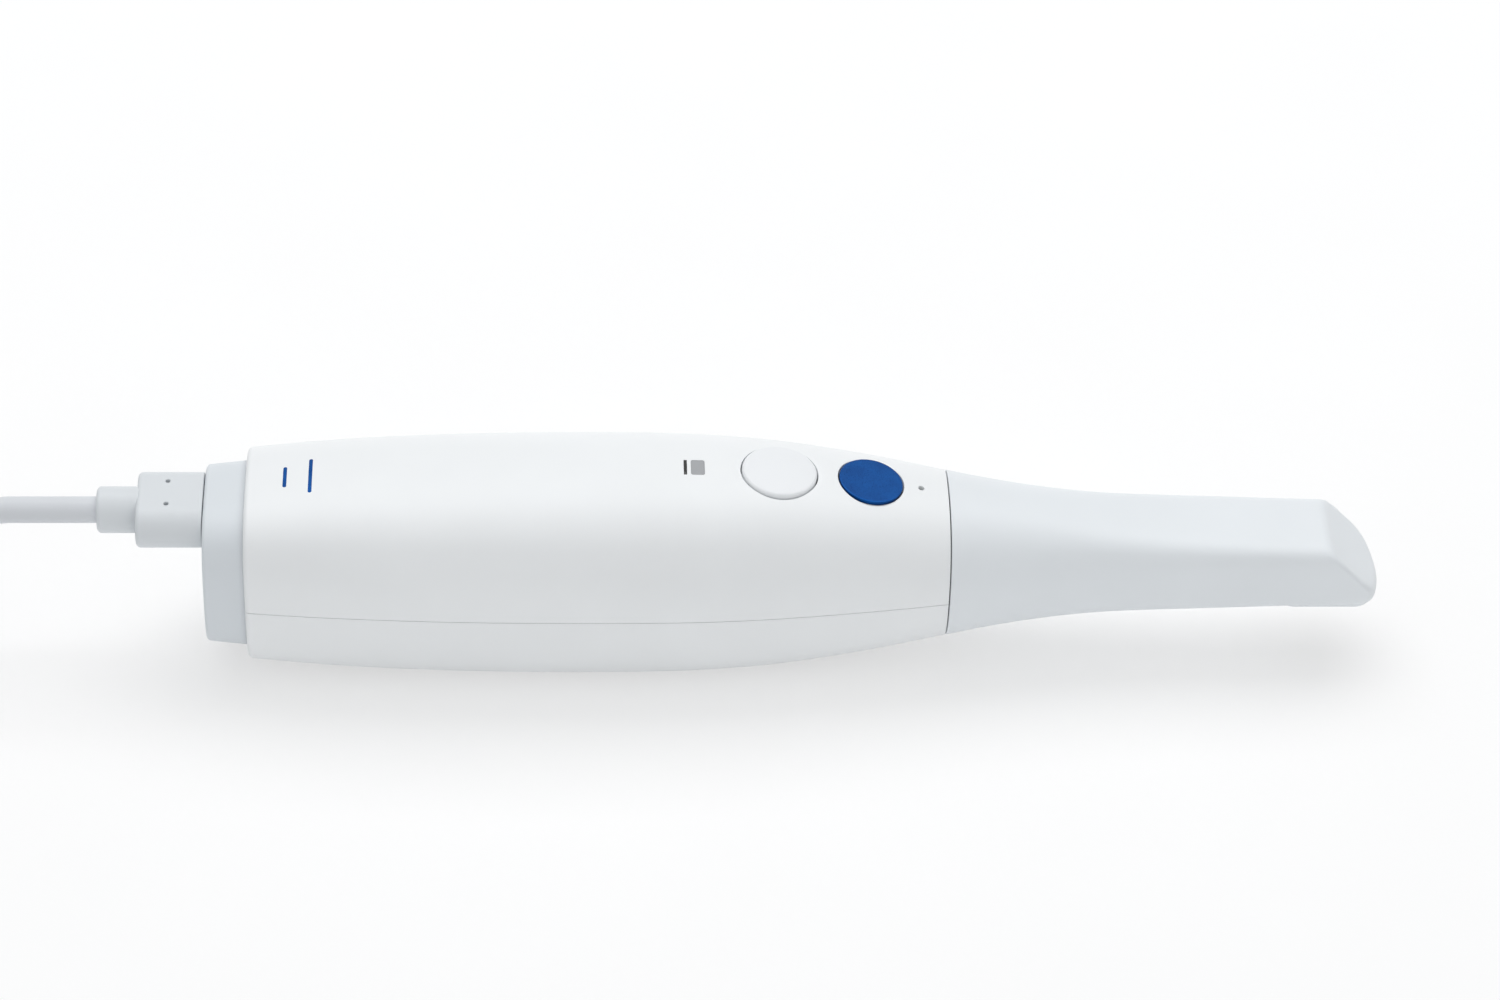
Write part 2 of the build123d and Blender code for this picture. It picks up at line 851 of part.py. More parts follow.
def screw(station, across, seat):
    """Pan-head screw standing on a seat height above the axis."""
    top = axis_height + seat
    head_centre = top + screw_head_height / 2
    head = Cylinder(screw_head_radius, screw_head_height)
    head = Pos(along(station), across, head_centre) * head
    shank = Cylinder(screw_radius, screw_length)
    return head + Pos(along(station), across, top - screw_length / 2) * shank


def main_board():
    """Main circuit board on the lower shell's posts."""
    low = -main_board_drop
    board = block(main_board_start, main_board_length, main_board_width, low, main_board_thickness)
    for station, across in main_board_corners():
        board -= screw_hole(station, across, low + main_board_thickness)
    return board


def board_screws():
    """Four screws of the main board."""
    seat = -main_board_drop + main_board_thickness
    return Compound([screw(*corner, seat) for corner in main_board_corners()])


def frame_screws():
    """Four screws of the optics frame."""
    seat = -frame_drop + frame_wall
    return Compound([screw(*corner, seat) for corner in frame_corners()])


def board_top():
    """Height of the main board's upper face above the axis."""
    return -main_board_drop + main_board_thickness


def board_chips():
    """Processor under the heat sink and a few smaller chips round it."""
    middle = main_board_start + main_board_length / 2
    chips = [block(middle - chip_size / 2, chip_size, chip_size, board_top(), chip_thickness)]
    first = middle - sink_length / 2 + small_chip_size
    last = middle + sink_length / 2 - 2 * small_chip_size
    side = chip_size / 2 + small_chip_size / 2
    thin = chip_thickness - seat_clearance
    for station in (first, last):
        for across in (-side / 2, side / 2):
            chips.append(block(station, small_chip_size, small_chip_size, board_top(), thin, across))
    return Compound(chips)


def heat_sink():
    """Finned heat sink on the processor."""
    start = main_board_start + (main_board_length - sink_length) / 2
    low = board_top() + chip_thickness
    sink = block(start, sink_length, sink_width, low, sink_base)
    pitch = (sink_width - fin_thickness) / (fin_count - 1)
    for fin in range(fin_count):
        across = (fin_thickness - sink_width) / 2 + fin * pitch
        sink += block(start, sink_length, fin_thickness, low, sink_base + fin_height, across)
    return sink


def air_lamp():
    """Domed lamp at the rear end of the main board, in the fan's air stream."""
    station = main_board_start + 2 * post_inset + lamp_radius
    across = main_board_width / 4
    lamp = Cylinder(lamp_radius, lamp_height)
    lamp = fillet(lamp.edges().group_by(Axis.Z)[-1], lamp_height / 2)
    return Pos(along(station), across, axis_height + board_top() + lamp_height / 2) * lamp


def optics_frame():
    """Metal channel that carries the cameras and projector, with a tongue to the nose."""
    low = -frame_drop
    frame = block(frame_start, frame_length, frame_width, low, frame_wall)
    for side in (-1, 1):
        across = side * (frame_width - frame_wall) / 2
        frame += block(frame_start, frame_length, frame_wall, low, frame_side_height, across)
    tongue = seam_station - flange_length - frame_end
    frame += block(frame_end - frame_wall, tongue + frame_wall, frame_tongue_width, low, frame_wall)
    for station, across in frame_corners():
        frame -= screw_hole(station, across, low + frame_wall)
    return frame


def frame_floor():
    """Height of the optics frame's floor above the axis."""
    return -frame_drop + frame_wall


def camera_board():
    """Upright board behind the cameras and the projector."""
    return block(
        frame_start, camera_board_thickness, camera_board_width, frame_floor(), camera_board_height
    )


def optic(length, width, height, across, lens_radius, lens_length):
    """Housing with its round lens barrel, from the camera board forward."""
    start = frame_start + camera_board_thickness
    housing = block(start, length, width, frame_floor(), height, across)
    rise = frame_floor() + height / 2
    barrel = rod(start + length, lens_length, lens_radius, across, rise)
    seat = rod(
        start + length + lens_length - optic_glass_length,
        2 * optic_glass_length,
        lens_radius * optic_glass_share,
        across,
        rise,
    )
    return housing + barrel - seat


def lens(length, height, across, lens_radius, lens_length):
    """Glass in the mouth of a lens barrel."""
    start = frame_start + camera_board_thickness + length + lens_length - optic_glass_length
    rise = frame_floor() + height / 2
    return rod(start, optic_glass_length, lens_radius * optic_glass_share, across, rise)


def camera(side):
    """One camera housing."""
    across = side * camera_spacing / 2
    return optic(camera_length, camera_width, camera_height, across, camera_lens_radius, camera_lens_length)


def camera_lens(side):
    """One camera's glass."""
    across = side * camera_spacing / 2
    return lens(camera_length, camera_height, across, camera_lens_radius, camera_lens_length)


def projector():
    """Pattern projector housing."""
    return optic(
        projector_length, projector_width, projector_height, 0, projector_lens_radius, projector_lens_length
    )


def projector_lens():
    """The projector's glass."""
    return lens(projector_length, projector_height, 0, projector_lens_radius, projector_lens_length)


def fan_frame():
    """Square fan frame with a round duct, a three-arm spider and the rotor's pin."""
    frame = block(fan_station, fan_depth, fan_size, -fan_drop - fan_size / 2, fan_size)
    duct_radius = fan_size / 2 - fan_wall
    frame -= rod(fan_station - cut_overrun, fan_depth + 2 * cut_overrun, duct_radius, 0, -fan_drop)
    spider = rod(fan_station, fan_spider_thickness, fan_hub_radius, 0, -fan_drop)
    arm = Box(fan_spider_thickness, duct_radius + fan_wall / 2, fan_spider_width)
    arm_middle = (duct_radius + fan_wall / 2) / 2
    hub = (along(fan_station + fan_spider_thickness / 2), 0, axis_height - fan_drop)
    for turn in range(fan_arm_count):
        angle = 90 + turn * 360 / fan_arm_count
        spider += Pos(*hub) * (Rot(angle, 0, 0) * (Pos(0, arm_middle, 0) * arm))
    pin = rod(fan_station, fan_depth - fan_hub_gap, fan_pin_radius, 0, -fan_drop)
    return frame + spider + pin


def fan_rotor():
    """Fan rotor: a bored hub with pitched blades."""
    start = fan_station + fan_spider_thickness + fan_hub_gap
    length = fan_depth - fan_spider_thickness - 2 * fan_hub_gap
    rotor = rod(start, length, fan_hub_radius, 0, -fan_drop)
    blade_span = fan_rotor_radius - fan_hub_radius / 2
    blade = Box(length / cos(radians(fan_blade_pitch)) * blade_chord_share, blade_span, fan_blade_thickness)
    hub = (along(start + length / 2), 0, axis_height - fan_drop)
    for turn in range(fan_blade_count):
        angle = turn * 360 / fan_blade_count
        pitched = Pos(0, fan_hub_radius / 2 + blade_span / 2, 0) * (Rot(0, fan_blade_pitch, 0) * blade)
        rotor += Pos(*hub) * (Rot(angle, 0, 0) * pitched)
    rotor &= rod(start, length, fan_rotor_radius, 0, -fan_drop)
    bore = rod(start - length, 3 * length, fan_pin_radius + fan_pin_clearance, 0, -fan_drop)
    return rotor - bore


def ribbon(points, radii):
    """Flat flexible strip along a path in the middle plane."""
    path = FilletPolyline(*points, radius=radii)
    start = path @ 0
    heading = path % 0
    plane = Plane(origin=start, x_dir=(0, 1, 0), z_dir=heading)
    return sweep(plane * Rectangle(ribbon_width, ribbon_thickness), path=path)


def rear_ribbon():
    """Strip from the rear board over the fan to the main board."""
    first = rear_board_station + rear_board_thickness
    last = main_board_start + ribbon_landing
    high = axis_height + rear_ribbon_rise
    low = axis_height + board_top()
    points = ((along(first), 0, high), (along(last), 0, high), (along(last), 0, low))
    return ribbon(points, (ribbon_bend_radius,))


def camera_ribbon():
    """Strip from the camera board to the main board."""
    first = frame_start
    last = main_board_start + main_board_length - ribbon_landing
    high = axis_height + camera_ribbon_rise
    low = axis_height + board_top()
    points = ((along(first), 0, high), (along(last), 0, high), (along(last), 0, low))
    return ribbon(points, (ribbon_bend_radius,))


def corner_radii(route):
    """Radius at each corner of a route: 0.45 of the shorter run over the half turn's tangent."""
    points = [Vector(*point) for point in route]
    radii = []
    for before, here, after in zip(points, points[1:], points[2:]):
        half_turn = radians((here - before).get_angle(after - here)) / 2
        shorter = min((here - before).length, (after - here).length)
        radii.append(corner_share * shorter / tan(half_turn))
    return radii


def tube(route):
    """Round cord along a route of straight runs and tangent arcs."""
    radii = corner_radii(route)
    path = FilletPolyline(*route, radius=radii)
    plane = Plane(origin=path @ 0, z_dir=path % 0)
    solid = sweep(plane * Circle(cord_diameter / 2), path=path)
    expected = pi * cord_diameter**2 / 4 * path.length
    print("radii", [round(radius, 1) for radius in radii], "length", round(path.length, 1))
    print("volume over section times length", round(solid.volume / expected, 4))
    return solid


def run_section(side, outline):
    """Outline in the plane across one of the hank's runs, on its near (-1) or far (1) side."""
    return Plane.YZ * (Pos(side * hank_fold_radius, hank_base + hank_height / 2) * outline)


def cord_hank():
    """Outer shape of the wound hank: two straight runs and the two folds between them."""
    section = run_section(1, RectangleRounded(hank_strip, hank_height, hank_corner_radius))
    half = Pos(-hank_run / 2, 0, 0) * (revolve(section, Axis.Z, 180) + extrude(section, hank_run))
    return Pos(hank_centre_x, 0, 0) * (half + Rot(0, 0, 180) * half)


def cord_tie():
    """Strap band round the hank's near run."""
    gap = 2 * tie_clearance
    inside = RectangleRounded(hank_strip + gap, hank_height + gap, hank_corner_radius)
    band = gap + 2 * tie_thickness
    outside = RectangleRounded(hank_strip + band, hank_height + band, hank_corner_radius + tie_thickness)
    section = run_section(-1, outside - inside)
    return Pos(hank_centre_x, 0, 0) * extrude(section, tie_width / 2, both=True)


def far_end():
    """X, Y and Z where the cord enters the far plug's relief."""
    return tail_route[-1]


def far_plug():
    """Moulded far plug with a tapered relief on the cord."""
    x, y, z = far_end()
    relief = Pos(x - far_relief_length / 2, y, z) * (
        Rot(0, -90, 0) * Cone(cord_diameter / 2 + far_shell_wall, far_relief_radius, far_relief_length)
    )
    body = Box(far_plug_length, far_plug_width, far_plug_height)
    body = fillet(body.edges(), far_plug_edge_radius)
    return relief + Pos(x - far_relief_length - far_plug_length / 2 + far_plug_edge_radius, y, z) * body


def far_plug_shell():
    """Rectangular metal shell at the front of the far plug."""
    x, y, z = far_end()
    start = x - far_relief_length - far_plug_length + far_plug_edge_radius
    shell = Box(far_shell_length, far_shell_width, far_shell_height)
    cut = Box(far_shell_length, far_shell_width - 2 * far_shell_wall, far_shell_height / 2 - far_shell_wall)
    shell -= Pos(-far_shell_length / 2, 0, far_shell_height / 4 - far_shell_wall / 2) * cut
    return Pos(start - far_shell_length / 2, y, z) * shell


handle_outer = handle_form(0) + quarter_round(handle_section(handle_shares[0], 0), rim_radius)
handle_hollow = handle_form(shell_wall, cut_overrun, cut_overrun)
pieces = {
    "upper_shell": upper_shell(handle_outer, handle_hollow),
    "lower_shell": lower_shell(handle_outer, handle_hollow),
    "rear_cap": rear_cap(),
    "rear_board": rear_board(),
    "rear_socket": rear_socket(),
    "status_guide": status_slot(inlay_clearance, -inlay_sink),
    "badge_plate": badge(inlay_clearance, -inlay_sink),
    "scan_button": scan_button(),
    "scan_plunger": switch_plunger(scan_key_row),
    "scan_switch": switch_body(scan_key_row),
    "confirm_disc": confirm_disc(),
    "confirm_carrier": confirm_carrier(),
    "confirm_plunger": switch_plunger(confirm_key_row),
    "confirm_switch": switch_body(confirm_key_row),
    "key_board": key_board(),
    "main_board": main_board(),
    "board_chips": board_chips(),
    "heat_sink": heat_sink(),
    "air_lamp": air_lamp(),
    "board_screws": board_screws(),
    "optics_frame": optics_frame(),
    "frame_screws": frame_screws(),
    "camera_board": camera_board(),
    "camera_left": camera(1),
    "camera_right": camera(-1),
    "camera_lens_left": camera_lens(1),
    "camera_lens_right": camera_lens(-1),
    "projector": projector(),
    "projector_lens": projector_lens(),
    "fan_frame": fan_frame(),
    "fan_rotor": fan_rotor(),
    "rear_ribbon": rear_ribbon(),
    "camera_ribbon": camera_ribbon(),
    "nose_barrel": nose_barrel(),
    "nose_window": nose_window(),
    "nose_seal": nose_seal(),
    "tip_sleeve": tip_sleeve(),
    "tip_mirror": tip_mirror(),
    "rear_plug": rear_plug(),
    "rear_plug_tongue": rear_plug_tongue(),
    "strain_relief": strain_relief(),
    "cord": tube(cord_route),
    "cord_hank": cord_hank(),
    "cord_tail": tube(tail_route),
    "cord_tie": cord_tie(),
    "far_plug": far_plug(),
    "far_plug_shell": far_plug_shell(),
}
for name, shape in pieces.items():
    export_step(shape, "parts/" + name + ".step")
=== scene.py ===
import json
import logging
import math
from dataclasses import dataclass, field, fields
from enum import Enum
from typing import Callable, Sequence

import bmesh
import bpy
import numpy as np
from mathutils import Matrix, Vector


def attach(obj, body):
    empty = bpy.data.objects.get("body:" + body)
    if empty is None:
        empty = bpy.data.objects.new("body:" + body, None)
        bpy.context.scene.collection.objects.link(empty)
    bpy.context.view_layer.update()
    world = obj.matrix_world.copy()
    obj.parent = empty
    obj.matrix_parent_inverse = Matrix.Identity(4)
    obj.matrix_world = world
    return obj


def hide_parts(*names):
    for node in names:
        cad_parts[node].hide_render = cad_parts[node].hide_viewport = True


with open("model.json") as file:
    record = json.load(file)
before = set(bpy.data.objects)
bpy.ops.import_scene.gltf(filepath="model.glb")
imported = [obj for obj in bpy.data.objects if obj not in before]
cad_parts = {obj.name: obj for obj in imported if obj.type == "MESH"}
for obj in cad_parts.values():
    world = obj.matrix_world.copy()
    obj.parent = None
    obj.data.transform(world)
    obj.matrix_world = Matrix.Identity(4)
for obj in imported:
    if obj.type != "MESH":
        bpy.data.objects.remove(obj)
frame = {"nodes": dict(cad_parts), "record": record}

MM = 0.001
log = logging.getLogger("scanner")
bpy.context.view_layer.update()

Colour = tuple[float, float, float, float]
Inputs = dict[str | int, object]
Field = Callable[[np.ndarray], np.ndarray]
Rows = Sequence[Sequence[float]]
WHITE: Colour = (1.0, 1.0, 1.0, 1.0)
SHARP_ANGLE = 38.0
ROUNDED_ANGLE = 50.0
WELD = 0.002
SKIN_WELD = 0.004
DROP_RANGE = (-9.0, 3.0)
CAST_RANGE = (0.2, 30.0)
HALVINGS = 40
RIM_MARGIN = 0.05


class Body(Enum):
    """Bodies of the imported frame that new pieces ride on."""

    HANDLE = "handle"
    SCAN_KEY = "scan_key"
    CONFIRM_KEY = "confirm_key"
    TIP = "tip"
    CABLE = "cable"


class Slot(Enum):
    """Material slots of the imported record."""

    BODY_WHITE = "body_white"
    CAP_GREY = "cap_grey"
    SLEEVE_GREY = "sleeve_grey"
    KEY_WHITE = "key_white"
    KEY_BLUE = "key_blue"
    STATUS_DARK = "status_dark"
    BADGE_GREY = "badge_grey"
    BOARD_GREEN = "board_green"
    CHIP_BLACK = "chip_black"
    INNER_BLACK = "inner_black"
    FRAME_METAL = "frame_metal"
    SCREW_STEEL = "screw_steel"
    PLUG_STEEL = "plug_steel"
    LENS_GLASS = "lens_glass"
    LAMP_CLEAR = "lamp_clear"
    MIRROR_SILVER = "mirror_silver"
    SEAL_RUBBER = "seal_rubber"
    CABLE_GREY = "cable_grey"
    PLUG_GREY = "plug_grey"
    TIE_FABRIC = "tie_fabric"
    RIBBON_AMBER = "ribbon_amber"


def linear(red: int, green: int, blue: int) -> Colour:
    """Linear colour of an 8-bit display colour."""
    shares = (value / 255 for value in (red, green, blue))
    return (*(((s + 0.055) / 1.055) ** 2.4 if s > 0.04045 else s / 12.92 for s in shares), 1.0)


def shaded(colour: Colour, share: float) -> Colour:
    """Colour made darker, or paler with a share above 1."""
    return (*(min(1.0, value * share) for value in colour[:3]), 1.0)


class NodeBench:
    """Node tree under construction, with short ways to add and link its nodes."""

    def __init__(self, tree: bpy.types.NodeTree) -> None:
        self.tree = tree

    def add(self, kind: str, inputs: Inputs | None = None, **settings: object) -> bpy.types.Node:
        """Adds a node.

        Args:
            kind: Blender's name of the node type.
            inputs: values or sockets for its inputs, by name or number.
            settings: properties of the node itself.

        Returns:
            The new node.
        """
        node = self.tree.nodes.new(kind)
        for key, value in settings.items():
            setattr(node, key, value)
        for key, value in (inputs or {}).items():
            if isinstance(value, bpy.types.NodeSocket):
                self.tree.links.new(value, node.inputs[key])
            else:
                node.inputs[key].default_value = value
        return node

    def math(self, operation: str, *values: object) -> bpy.types.NodeSocket:
        """Result of a Math node on one, two or three values or sockets."""
        return self.add("ShaderNodeMath", dict(enumerate(values)), operation=operation).outputs[0]

    def seen(self) -> bpy.types.NodeSocket:
        """Socket that is 1 for what is seen straight, in gloss or through glass."""
        path = self.add("ShaderNodeLightPath").outputs
        direct = self.math("MAXIMUM", path["Is Camera Ray"], path["Is Glossy Ray"])
        return self.math("MAXIMUM", direct, path["Is Transmission Ray"])


class ShaderBench(NodeBench):
    """Node tree of one material."""

    def __init__(self, name: str) -> None:
        self.material = bpy.data.materials.new(name)
        self.material.use_nodes = True
        super().__init__(self.material.node_tree)
        self.tree.nodes.clear()
        self.output = self.add("ShaderNodeOutputMaterial")
        self.place = self.add("ShaderNodeTexCoord").outputs["Object"]

    def noise(
        self, cell: float, detail: float = 2.0, place: bpy.types.NodeSocket | None = None
    ) -> bpy.types.NodeSocket:
        """Noise whose cells are about `cell` millimetres wide.

        Args:
            cell: size of a cell in millimetres.
            detail: octaves of finer noise.
            place: coordinates, the object's own where left out.

        Returns:
            The noise's factor socket, about 0.5 in the middle.
        """
        inputs = {"Vector": place or self.place, "Scale": 1 / (cell * MM), "Detail": detail}
        return self.add("ShaderNodeTexNoise", inputs).outputs["Fac"]

    def spread(self, source: bpy.types.NodeSocket, low: float, high: float) -> bpy.types.NodeSocket:
        """Maps a noise factor from its usual range to another.

        Args:
            source: factor that lies mostly between 0.3 and 0.7.
            low: result at 0.3.
            high: result at 0.7.

        Returns:
            The mapped value's socket.
        """
        inputs = {"Value": source, "From Min": 0.3, "From Max": 0.7, "To Min": low, "To Max": high}
        return self.add("ShaderNodeMapRange", inputs).outputs["Result"]

    def blend(
        self, factor: bpy.types.NodeSocket, first: Sequence[float], second: Sequence[float]
    ) -> bpy.types.NodeSocket:
        """Colour between two others.

        Args:
            factor: 0 for the first, 1 for the second.
            first: linear colour at 0.
            second: linear colour at 1.

        Returns:
            The mixed colour's socket.
        """
        node = self.add("ShaderNodeMix", {"Factor": factor}, data_type="RGBA")
        node.inputs["A"].default_value = first
        node.inputs["B"].default_value = second
        return node.outputs["Result"]

    def bump(self, height: bpy.types.NodeSocket, depth: float, strength: float) -> bpy.types.NodeSocket:
        """Normal bent by a height field.

        Args:
            height: field between 0 and 1.
            depth: its depth in millimetres.
            strength: share of the bend that is used.

        Returns:
            The bent normal's socket.
        """
        inputs = {"Height": height, "Distance": depth * MM, "Strength": strength}
        return self.add("ShaderNodeBump", inputs).outputs["Normal"]

    def finish(self, shader: bpy.types.Node) -> bpy.types.Material:
        """Links a shader to the output and gives the material."""
        self.tree.links.new(shader.outputs[0], self.output.inputs["Surface"])
        return self.material


@dataclass(frozen=True)
class Plastic:
    """Moulded plastic with a fine spark-eroded grain and a faint unevenness of tone."""

    colour: Colour
    roughness: float = 0.42
    grain: float = 0.16
    grain_depth: float = 0.004
    tone_share: float = 0.03
    specular: float = 0.5

    def build(self, name: str) -> bpy.types.Material:
        """Makes the material.

        Args:
            name: name of the material.

        Returns:
            The material.
        """
        bench = ShaderBench(name)
        cloud = bench.noise(26.0, 3.0)
        fine = bench.noise(self.grain, 2.0)
        dark = shaded(self.colour, 1 - self.tone_share)
        colour = bench.blend(bench.spread(cloud, 0.0, 1.0), dark, self.colour)
        rough = bench.spread(fine, self.roughness - 0.04, self.roughness + 0.04)
        normal = bench.bump(fine, self.grain_depth, 0.35)
        inputs = {
            "Base Color": colour,
            "Roughness": rough,
            "Normal": normal,
            "Specular IOR Level": self.specular,
        }
        return bench.finish(bench.add("ShaderNodeBsdfPrincipled", inputs))


@dataclass(frozen=True)
class Metal:
    """Metal with a directional or cast grain."""

    colour: Colour
    roughness: float = 0.3
    grain: float = 0.25
    stretch: tuple[float, float, float] = (1.0, 1.0, 1.0)
    grain_depth: float = 0.004
    tone_share: float = 0.08

    def build(self, name: str) -> bpy.types.Material:
        """Makes the material.

        Args:
            name: name of the material.

        Returns:
            The material.
        """
        bench = ShaderBench(name)
        mapping = bench.add("ShaderNodeMapping", {"Vector": bench.place, "Scale": self.stretch})
        fine = bench.noise(self.grain, 3.0, mapping.outputs["Vector"])
        dark = shaded(self.colour, 1 - self.tone_share)
        inputs = {
            "Base Color": bench.blend(bench.spread(fine, 0.0, 1.0), dark, self.colour),
            "Metallic": 1.0,
            "Roughness": bench.spread(fine, self.roughness - 0.06, self.roughness + 0.06),
            "Normal": bench.bump(fine, self.grain_depth, 0.4),
        }
        return bench.finish(bench.add("ShaderNodeBsdfPrincipled", inputs))


@dataclass(frozen=True)
class Anodised:
    """Dyed and blasted aluminium with a fine glittering grain."""

    colour: Colour
    deep: Colour
    roughness: float = 0.34

    def build(self, name: str) -> bpy.types.Material:
        """Makes the material.

        Args:
            name: name of the material.

        Returns:
            The material.
        """
        bench = ShaderBench(name)
        grain = bench.noise(0.13, 1.0)
        cloud = bench.noise(3.0, 3.0)
        share = bench.math("MULTIPLY", bench.math("ADD", grain, cloud), 0.5)
        inputs = {
            "Base Color": bench.blend(bench.spread(share, 0.0, 1.0), self.deep, self.colour),
            "Metallic": 0.75,
            "Roughness": bench.spread(grain, self.roughness - 0.08, self.roughness + 0.08),
            "Normal": bench.bump(grain, 0.006, 0.5),
            "Specular IOR Level": 0.2,
        }
        return bench.finish(bench.add("ShaderNodeBsdfPrincipled", inputs))


@dataclass(frozen=True)
class Clear:
    """Clear glass or resin with a faint tint and smudges in its gloss."""

    colour: Colour
    index: float = 1.5
    roughness: float = 0.03
    pale_share: float = 1.06

    def build(self, name: str) -> bpy.types.Material:
        """Makes the material.

        Args:
            name: name of the material.

        Returns:
            The material.
        """
        bench = ShaderBench(name)
        smudge = bench.noise(1.8, 3.0)
        pale = shaded(self.colour, self.pale_share)
        inputs = {
            "Base Color": bench.blend(bench.spread(smudge, 0.0, 1.0), self.colour, pale),
            "Transmission Weight": 1.0,
            "IOR": self.index,
            "Roughness": bench.spread(smudge, self.roughness, self.roughness + 0.05),
        }
        return bench.finish(bench.add("ShaderNodeBsdfPrincipled", inputs))


@dataclass(frozen=True)
class CircuitBoard:
    """Solder mask over copper: pale tracks and round pads in a small raster."""

    mask: Colour
    track: Colour
    pitch: float = 1.27
    pad_share: float = 0.2

    def build(self, name: str) -> bpy.types.Material:
        """Makes the material.

        Args:
            name: name of the material.

        Returns:
            The material.
        """
        bench = ShaderBench(name)
        bricks = {"Vector": bench.place, "Scale": 1 / (4 * self.pitch * MM), "Mortar Size": 0.03}
        lines = bench.add("ShaderNodeTexBrick", bricks).outputs["Fac"]
        cells = {"Vector": bench.place, "Scale": 1 / (self.pitch * MM)}
        near = bench.add("ShaderNodeTexVoronoi", cells).outputs["Distance"]
        both = bench.math("MAXIMUM", lines, bench.math("LESS_THAN", near, self.pad_share))
        inputs = {
            "Base Color": bench.blend(both, self.mask, self.track),
            "Roughness": bench.spread(bench.noise(0.4), 0.3, 0.45),
            "Normal": bench.bump(both, 0.03, 0.6),
            "Coat Weight": 0.4,
        }
        return bench.finish(bench.add("ShaderNodeBsdfPrincipled", inputs))


@dataclass(frozen=True)
class Webbing:
    """Woven strap with a twill bump and a soft sheen."""

    colour: Colour
    thread: float = 0.7
    pale_share: float = 1.35

    def build(self, name: str) -> bpy.types.Material:
        """Makes the material.

        Args:
            name: name of the material.

        Returns:
            The material.
        """
        bench = ShaderBench(name)
        waves = {"Vector": bench.place, "Scale": 0.32 / (self.thread * MM), "Distortion": 0.6, "Detail": 1.0}
        warp = bench.add("ShaderNodeTexWave", waves, bands_direction="DIAGONAL").outputs["Fac"]
        pale = shaded(self.colour, self.pale_share)
        inputs = {
            "Base Color": bench.blend(warp, self.colour, pale),
            "Roughness": bench.spread(bench.noise(0.5), 0.75, 0.95),
            "Normal": bench.bump(warp, 0.12, 0.7),
            "Sheen Weight": 0.4,
        }
        return bench.finish(bench.add("ShaderNodeBsdfPrincipled", inputs))


@dataclass(frozen=True)
class Mirror:
    """Front-silvered mirror with a faint haze."""

    colour: Colour
    dark_share: float = 0.94

    def build(self, name: str) -> bpy.types.Material:
        """Makes the material.

        Args:
            name: name of the material.

        Returns:
            The material.
        """
        bench = ShaderBench(name)
        haze = bench.noise(2.5, 3.0)
        dark = shaded(self.colour, self.dark_share)
        inputs = {
            "Base Color": bench.blend(bench.spread(haze, 0.0, 1.0), dark, self.colour),
            "Metallic": 1.0,
            "Roughness": bench.spread(haze, 0.015, 0.05),
        }
        return bench.finish(bench.add("ShaderNodeBsdfPrincipled", inputs))


FINISHES = {
    Slot.BODY_WHITE: Plastic(linear(240, 242, 243), specular=0.25),
    Slot.CAP_GREY: Plastic(linear(219, 224, 228), specular=0.3),
    Slot.SLEEVE_GREY: Plastic(linear(231, 235, 238), roughness=0.4, specular=0.3),
    Slot.KEY_WHITE: Plastic(linear(238, 240, 242), roughness=0.42, specular=0.25),
    Slot.KEY_BLUE: Anodised(linear(9, 74, 140), linear(4, 56, 116)),
    Slot.STATUS_DARK: Plastic(linear(16, 16, 18), roughness=0.15, grain=0.6, grain_depth=0.001),
    Slot.BADGE_GREY: Plastic(linear(158, 160, 163), roughness=0.5, tone_share=0.06),
    Slot.BOARD_GREEN: CircuitBoard(linear(22, 88, 54), linear(60, 128, 84)),
    Slot.CHIP_BLACK: Plastic(linear(38, 38, 41), roughness=0.55, tone_share=0.2),
    Slot.INNER_BLACK: Plastic(linear(44, 44, 47), roughness=0.5, tone_share=0.15),
    Slot.FRAME_METAL: Metal(linear(178, 180, 184), roughness=0.42, grain=0.3),
    Slot.SCREW_STEEL: Metal(linear(186, 186, 188), roughness=0.28, grain=0.12),
    Slot.PLUG_STEEL: Metal(linear(196, 196, 198), roughness=0.24, stretch=(0.05, 1.0, 1.0)),
    Slot.LENS_GLASS: Clear(linear(206, 220, 228), index=1.52),
    Slot.LAMP_CLEAR: Clear(linear(222, 222, 244), index=1.49, roughness=0.08),
    Slot.MIRROR_SILVER: Mirror(linear(236, 238, 240)),
    Slot.SEAL_RUBBER: Plastic(linear(52, 53, 56), roughness=0.62, tone_share=0.12),
    Slot.CABLE_GREY: Plastic(
        linear(214, 217, 221), roughness=0.5, grain=0.22, grain_depth=0.006, specular=0.3
    ),
    Slot.PLUG_GREY: Plastic(linear(217, 221, 224), specular=0.3),
    Slot.TIE_FABRIC: Webbing(linear(96, 100, 106)),
    Slot.RIBBON_AMBER: Plastic(linear(188, 118, 38), roughness=0.3, tone_share=0.15),
}


class Palette:
    """The finishes as Blender materials, each made once."""

    def __init__(self) -> None:
        self.made = {slot: finish.build(slot.value) for slot, finish in FINISHES.items()}

    def __getitem__(self, slot: Slot) -> bpy.types.Material:
        return self.made[slot]

    def dress(self, piece: bpy.types.Object, slot: Slot) -> None:
        """Gives a new piece one finish and says from which slot it comes.

        Args:
            piece: the object to dress.
            slot: the slot of its finish.
        """
        piece.data.materials.clear()
        piece.data.materials.append(self.made[slot])

    def dress_nodes(self) -> None:
        """Gives each CAD node the finish that the record names for it."""
        for row in frame["record"]["subparts"]:
            node = frame["nodes"][row["node"]]
            node.data.materials.clear()
            node.data.materials.append(self.made[Slot(row["material_slot"])])


